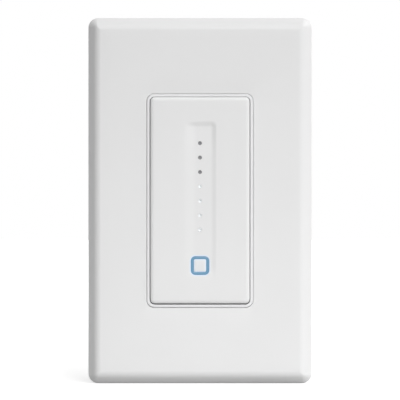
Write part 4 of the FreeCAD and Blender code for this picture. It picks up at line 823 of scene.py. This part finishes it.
def spread(start, *runs):
    """Values from the start through (end, steps) runs, each divided evenly."""
    parts = [np.array([start])]
    for end, steps in runs:
        parts.append(np.linspace(start, end, steps + 1)[1:])
        start = end
    return np.concatenate(parts)


def paddle_face(sizes, half_width, low, high, face, back):
    """Skin of the paddle's front: y = face + groove depth + edge drop, on a rounded outline.

    In a corner square of side r the point (a, b) moves to max(a, b) times its own direction,
    which lays the square on a quarter disc. The edge drop is a quarter ellipse of width w and
    depth e: e - e * sqrt(1 - (1 - d / w)^2), where d is the distance to the outline.
    """
    corner, width, drop = sizes.corner / MM, sizes.edge_width / MM, sizes.edge_drop / MM
    middle, half_height = (low + high) / 2, (high - low) / 2
    ease = corner * (1 - np.cos(np.linspace(0, math.pi / 2, 15)))[:-1]
    inner = spread(corner - half_width, *FACE_COLUMNS, (half_width - corner, 8))
    columns = np.concatenate([ease - half_width, inner, (half_width - ease)[::-1]])
    inner = spread(low + corner, *FACE_ROWS, (high - corner, 6))
    rows = np.concatenate([low + ease, inner, (high - ease)[::-1]])
    x, z = np.meshgrid(columns, rows)
    over_x = np.maximum(np.abs(x) - (half_width - corner), 0)
    over_z = np.maximum(np.abs(z - middle) - (half_height - corner), 0)
    reach = np.maximum(over_x, over_z)
    scale = np.divide(reach, np.hypot(over_x, over_z), out=np.ones_like(reach), where=reach > 0)
    x = x - np.sign(x) * over_x * (1 - scale)
    z = z - np.sign(z - middle) * over_z * (1 - scale)
    near = np.clip(1 - (corner - reach) / width, 0, 1)
    y = face + groove_depth(sizes, x, z) + drop * (1 - np.sqrt(1 - near ** 2))
    index, quads = sheet_faces(*x.shape)
    rim = np.concatenate([index[0, :-1], index[:-1, -1], index[-1, :0:-1], index[:0:-1, 0]])
    points = np.stack([x, y, z], axis=2).reshape(-1, 3)
    behind = points[rim].copy()
    behind[:, 1] = back
    edge = x.size + np.arange(len(rim))
    sides = np.stack([np.roll(rim, -1), rim, edge, np.roll(edge, -1)], axis=1)
    return np.vstack([points, behind]), quads + sides.tolist() + [edge[::-1].tolist()]


class DIMMER_OT_paddle(bpy.types.Operator):
    """Paddle with a rolled edge and a soft slider groove, on the ribs and hooks behind it"""
    bl_idname = "dimmer.paddle"
    bl_label = "Paddle"

    def execute(self, context):
        sizes = context.scene.dimmer.paddle
        low, high = extent("paddle")
        front, back = low[1], low[1] + FRONT_WALL
        top = high[2] + sizes.top_reach / MM
        piece = make_piece("paddle_panel", [paddle_face(sizes, high[0], low[2], top, front, back)],
                           "paddle", 35)
        drill = turned([(DOT_HOLE, back + 1), (DOT_HOLE, front - 1)], 32)
        holes = [skin(placed(drill, origin=(0, 0, z))) for z in dot_places()]
        window = rounded_rings([(*RING_HOLE, front - 1), (*RING_HOLE, back + 1)], 8, 4)
        holes.append(skin(placed(window, origin=(0, 0, ring_outline()[2]))))
        carve(piece, raw_mesh("hole_cutter", holes))
        # ribs, hooks, trunnions and skirt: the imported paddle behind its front
        rear = bpy.data.objects.new("paddle_rear", joined_mesh("paddle"))
        context.scene.collection.objects.link(rear)
        carve(rear, raw_mesh("front_cutter", [brick((-20, front - 1, -40), (20, back - OVERLAP, 40))]))
        rear_mesh = rear.data
        bpy.data.objects.remove(rear)
        carve(piece, rear_mesh, "UNION")
        return {"FINISHED"}


class DIMMER_OT_shells(bpy.types.Operator):
    """Bezel frame, sub-plate, housing, yoke and the other parts with curved walls"""
    bl_idname = "dimmer.shells"
    bl_label = "Moulded and stamped parts"

    def execute(self, context):
        for node in ("bezel_frame", "sub_plate", "rear_housing", "yoke",
                     "screw_retainers", "filter_choke", "transformer", "return_spring", "flex_cable"):
            dressed(node + "_shell", joined_mesh(node), node, 30, even=True)
        return {"FINISHED"}


# Dots and light ring

def dot_places():
    """Heights of the dots."""
    low, high = extent("dot_lenses")
    return np.linspace(low[2] + high[0], high[2] - high[0], DOT_COUNT)


def ring_outline():
    """Half width, half height and middle height of the light ring's visible outline."""
    low, high = extent("ring_light_guide")
    return high[0] - RING_FLANGE, (high[2] - low[2]) / 2 - RING_FLANGE, (low[2] + high[2]) / 2


class DIMMER_OT_dots(bpy.types.Operator):
    """Seven dished lenses of the level column, lit from the bottom up"""
    bl_idname = "dimmer.dots"
    bl_label = "Dots"

    def execute(self, context):
        light = context.scene.dimmer.light
        low, high = extent("dot_lenses")
        radius, back = high[0], high[1]
        places, lit = dot_places(), light.lit_dots
        dish = light.dish / MM
        top = low[1] - DOT_REACH
        # dished face (a cosine bowl), rolled lip, stem and back
        profile = [(r, top + dish * (1 + math.cos(math.pi * r / DOT_BOWL)) / 2)
                   for r in np.linspace(0.02, DOT_BOWL, 9)]
        profile += [(0.58, top + 0.01), (radius, top + 0.04), (radius, back - 0.05),
                    (radius - 0.05, back), (0.02, back)]
        for name, chosen, finish in (("dots_lit", places[:lit], "dot_lens"),
                                     ("dots_unlit", places[lit:], "dot_unlit")):
            if len(chosen):
                skins = [skin(placed(turned(profile, 28), origin=(0, 0, z))) for z in chosen]
                make_piece(name, skins, "dot_lenses", finish=finish)
        return {"FINISHED"}


class DIMMER_OT_ring(bpy.types.Operator):
    """Square light ring with a crowned face and a flange behind the paddle"""
    bl_idname = "dimmer.ring"
    bl_label = "Light ring"

    def execute(self, context):
        crown = context.scene.dimmer.light.ring_crown / MM
        low, high = extent("ring_light_guide")
        half_width, half_height, middle = ring_outline()
        back, step, top = high[1], high[1] - RING_STEP, low[1] - RING_REACH
        # crowned face from the outer wall to the inner one, then down the bore and round the flange
        section = [(a, top + crown * (2 * a / RING_STROKE - 1) ** 2) for a in np.linspace(0, RING_STROKE, 9)]
        section += [(RING_STROKE, step), (RING_STROKE, back), (-RING_FLANGE, back), (-RING_FLANGE, step),
                    (0, step)]
        ring = rounded_rings(inset_rows((half_width, half_height, RING_CORNER), section), 8, 4)
        make_piece("light_ring", [skin(placed(ring, origin=(0, 0, middle)), looped=True)],
                   "ring_light_guide", 50)
        # cap inside the ring: a soft-edged plug on a wider step
        low, high = extent("ring_center_cap")
        back = high[1]
        plug = ((1.8, top), (0.9, top), (0.12, top), (0.04, top + 0.03), (0, top + 0.12), (0, back - 0.2))
        wide = ((0.1, back - 0.2), (0, back - 0.15), (0, back - 0.05), (0.1, back))
        rows = inset_rows(CAP_PLUG, plug, 0.1)
        rows += inset_rows((high[0], (high[2] - low[2]) / 2, 0.15), wide, 0.15)
        make_piece("ring_cap", [skin(placed(rounded_rings(rows, 6, 4), origin=(0, 0, middle)))],
                   "ring_center_cap", 50)
        return {"FINISHED"}


# Screws

def screw_grids(sizes, head, radius, height, shank, start, end, neck=None, hexed=False):
    """Grids of a screw along Y: crowned or hexagonal head, threaded shank, and neck if it has one.

    head is the depth of the head's top, height the head's, and the thread runs from start to end.
    """
    under = head + height
    if hexed:
        profile = [(0.05, head), (radius * 0.8, head), (radius * 0.9, head + 0.12),
                   (radius, head + 0.45), (radius, under), (0.05, under)]
        cap = turned(profile, 48, hexagon_radius(radius))
    else:
        profile = [(0.05, head), (radius * 0.55, head + 0.03), (radius * 0.8, head + 0.14),
                   (radius * 0.94, head + 0.38), (radius, head + 0.75),
                   (radius, under - 0.1), (radius - 0.1, under), (0.05, under)]
        cap = turned(profile, 40)
    grids = [cap, helical_thread(shank - sizes.thread_depth / MM, shank, sizes.pitch / MM, start, end)]
    if neck:
        grids.append(turned([(neck, under - OVERLAP), (neck, start + OVERLAP)], 24))
    return grids


def screw_set(node, name, places, head, radius, height, *shape, **more):
    """Like screws in one piece, one at each (axis, origin), with a slot cut across each head."""
    grids = screw_grids(bpy.context.scene.dimmer.screws, head, radius, height, *shape, **more)
    piece = make_piece(name, [skin(placed(grid, *place)) for place in places for grid in grids], node)
    slot = np.array([[(-SLOT_HALF, head - 1, -radius - 1), (SLOT_HALF, head + SLOT_DEPTH, radius + 1)]])
    for place in sorted(places):
        ends = placed(slot, *place)[0]
        carve(piece, raw_mesh("slot_cutter", [brick(ends.min(0), ends.max(0))]))


class DIMMER_OT_screws(bpy.types.Operator):
    """Box screws, sub-plate screws, terminal screws and the earth screw, with threads and slots"""
    bl_idname = "dimmer.screws"
    bl_label = "Screws"

    def execute(self, context):
        # crowned heads: box screws, whose thread starts behind the yoke, and sub-plate screws
        for node, height, neck in (("box_screws", 1.4, 1.45), ("sub_plate_screws", 1.1, None)):
            low, high = extent(node)
            head, radius = low[1], high[0]
            start = 0.0 if neck else head + height
            places = [("+Y", (0, 0, z)) for z in (radius - high[2], high[2] - radius)]
            screw_set(node, node + "_threaded", places, head, radius, height, SHANK, start, high[1],
                      neck=neck)
        # hexagonal heads: terminal screws in the four side pockets, and the earth screw on its lug
        low, high = extent("terminal_screws")
        radius, top, y = 3.8, high[0], (low[1] + high[1]) / 2
        z = high[2] - radius * math.cos(math.pi / 6)
        places = [(axis, (side * top, y, end * z))
                  for axis, side in (("-X", 1), ("+X", -1)) for end in (-1, 1)]
        screw_set("terminal_screws", "terminal_screws_threaded", places, 0.0, radius, 1.6, SHANK, 1.6,
                  top - SHANK_END, hexed=True)
        low, high = extent("ground_screw")
        place = ("+X", (low[0], (low[1] + high[1]) / 2, (low[2] + high[2]) / 2))
        screw_set("ground_screw", "earth_screw_threaded", [place], 0.0, 3.9, 2.4, 2.0, 2.4,
                  high[0] - low[0], hexed=True)
        return {"FINISHED"}


# Stage

class DIMMER_OT_stage(bpy.types.Operator):
    """Pale floor, soft studio light and the camera in front"""
    bl_idname = "dimmer.stage"
    bl_label = "Stage"

    def execute(self, context):
        settings = context.scene.dimmer.stage
        low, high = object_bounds()
        scene = context.scene
        scene.view_settings.view_transform = "Standard"

        # plain floor: a flat sheet of paper, level with the plate's lower edge
        span = np.linspace(-FLOOR_REACH, FLOOR_REACH, 13)
        x, y = np.meshgrid(span, span)
        mesh = bpy.data.meshes.new("paper_floor")
        mesh.from_pydata(np.stack([x, y, np.full_like(x, low[2])], axis=2).reshape(-1, 3).tolist(), [],
                         sheet_faces(*x.shape)[1])
        floor = bpy.data.objects.new("paper_floor", mesh)
        scene.collection.objects.link(floor)
        floor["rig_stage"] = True
        mesh.materials.append(floor_paper("paper_matt"))

        # even light from all round, and a white surround for what the camera and gloss see
        world = bpy.data.worlds.new("studio")
        world.use_nodes = True
        tree = world.node_tree
        tree.nodes.clear()
        # a very large soft source: strength = ambient + slope . direction, brightest at the upper right
        way = add_node(tree, "ShaderNodeTexCoord")
        slope = add_node(tree, "ShaderNodeVectorMath", {"operation": "DOT_PRODUCT"},
                         {0: way.outputs["Generated"], 1: settings.slope})
        strength = add_node(tree, "ShaderNodeMath", {"operation": "ADD"},
                            {0: slope.outputs["Value"], 1: settings.ambient})
        lit = add_node(tree, "ShaderNodeMath", {"operation": "MAXIMUM"}, {0: strength.outputs[0], 1: 0.0})
        even = add_node(tree, "ShaderNodeBackground", inputs={"Color": "FFFFFF", "Strength": lit.outputs[0]})
        white = add_node(tree, "ShaderNodeBackground", inputs={"Color": "FFFFFF", "Strength": 1.0})
        both = add_node(tree, "ShaderNodeMixShader",
                        inputs={0: seen_directly(tree), 1: even.outputs[0], 2: white.outputs[0]})
        add_node(tree, "ShaderNodeOutputWorld", inputs={"Surface": both.outputs[0]})
        scene.world = world

        # key softbox above, and a soft spot aimed below the plate, so that its lower half is lighter
        key = bpy.data.lights.new("key_softbox", "AREA")
        key.shape = "SQUARE"
        key.size = 1.0
        key.energy = settings.key
        spot = bpy.data.lights.new("face_spot", "SPOT")
        spot.spot_size = math.radians(21)
        spot.spot_blend = 1.0
        spot.shadow_soft_size = 0.15
        spot.energy = settings.spot
        for light, place, aim in ((key, (0.50, -1.20, 1.30), (0, 0, 0)),
                                  (spot, (0.25, -1.10, 0.45), (0, 0, -0.10))):
            lamp = bpy.data.objects.new(light.name, light)
            lamp.location = place
            lamp.rotation_mode = "QUATERNION"
            lamp.rotation_quaternion = (Vector(aim) - Vector(place)).to_track_quat("-Z", "Y")
            scene.collection.objects.link(lamp)

        camera = bpy.data.cameras.new("camera")
        camera.lens = settings.lens
        camera.sensor_width = 36
        camera.clip_start, camera.clip_end = 0.05, 20
        eye = bpy.data.objects.new("camera", camera)
        reach = settings.view_width * settings.lens / camera.sensor_width
        eye.location = (0, -PLATE_FACE - reach, EYE_HEIGHT)
        eye.rotation_euler = (math.pi / 2, 0, 0)
        scene.collection.objects.link(eye)
        scene.camera = eye
        return {"FINISHED"}


# Panel and registration

class DIMMER_PT_panel(bpy.types.Panel):
    """Settings and steps of the dimmer"""
    bl_idname = "DIMMER_PT_panel"
    bl_label = "Dimmer switch"
    bl_space_type = "VIEW_3D"
    bl_region_type = "UI"
    bl_category = "Dimmer"

    def draw(self, context):
        settings = context.scene.dimmer
        for operator in OPERATORS:
            self.layout.operator(operator.bl_idname)
        for group in ("plate", "paddle", "light", "screws", "colours", "stage"):
            box = self.layout.box()
            box.label(text=group.capitalize())
            member = getattr(settings, group)
            for name in member.__annotations__:
                box.prop(member, name)


OPERATORS = (DIMMER_OT_materials, DIMMER_OT_wall_plate, DIMMER_OT_paddle, DIMMER_OT_shells,
             DIMMER_OT_dots, DIMMER_OT_ring, DIMMER_OT_screws, DIMMER_OT_stage)
GROUPS = (DimmerPlateSettings, DimmerPaddleSettings, DimmerLightSettings, DimmerScrewSettings,
          DimmerColourSettings, DimmerStageSettings, DimmerSettings)


def register():
    """Registers the settings, the operators and the panel."""
    for item in GROUPS + OPERATORS + (DIMMER_PT_panel,):
        bpy.utils.register_class(item)
    bpy.types.Scene.dimmer = PointerProperty(type=DimmerSettings)


def unregister():
    """Takes them away again."""
    del bpy.types.Scene.dimmer
    for item in reversed(GROUPS + OPERATORS + (DIMMER_PT_panel,)):
        bpy.utils.unregister_class(item)


def main():
    """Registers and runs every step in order."""
    register()
    bpy.ops.dimmer.materials()
    bpy.ops.dimmer.wall_plate()
    bpy.ops.dimmer.paddle()
    bpy.ops.dimmer.shells()
    bpy.ops.dimmer.dots()
    bpy.ops.dimmer.ring()
    bpy.ops.dimmer.screws()
    bpy.ops.dimmer.stage()


if __name__ == "__main__":
    main()
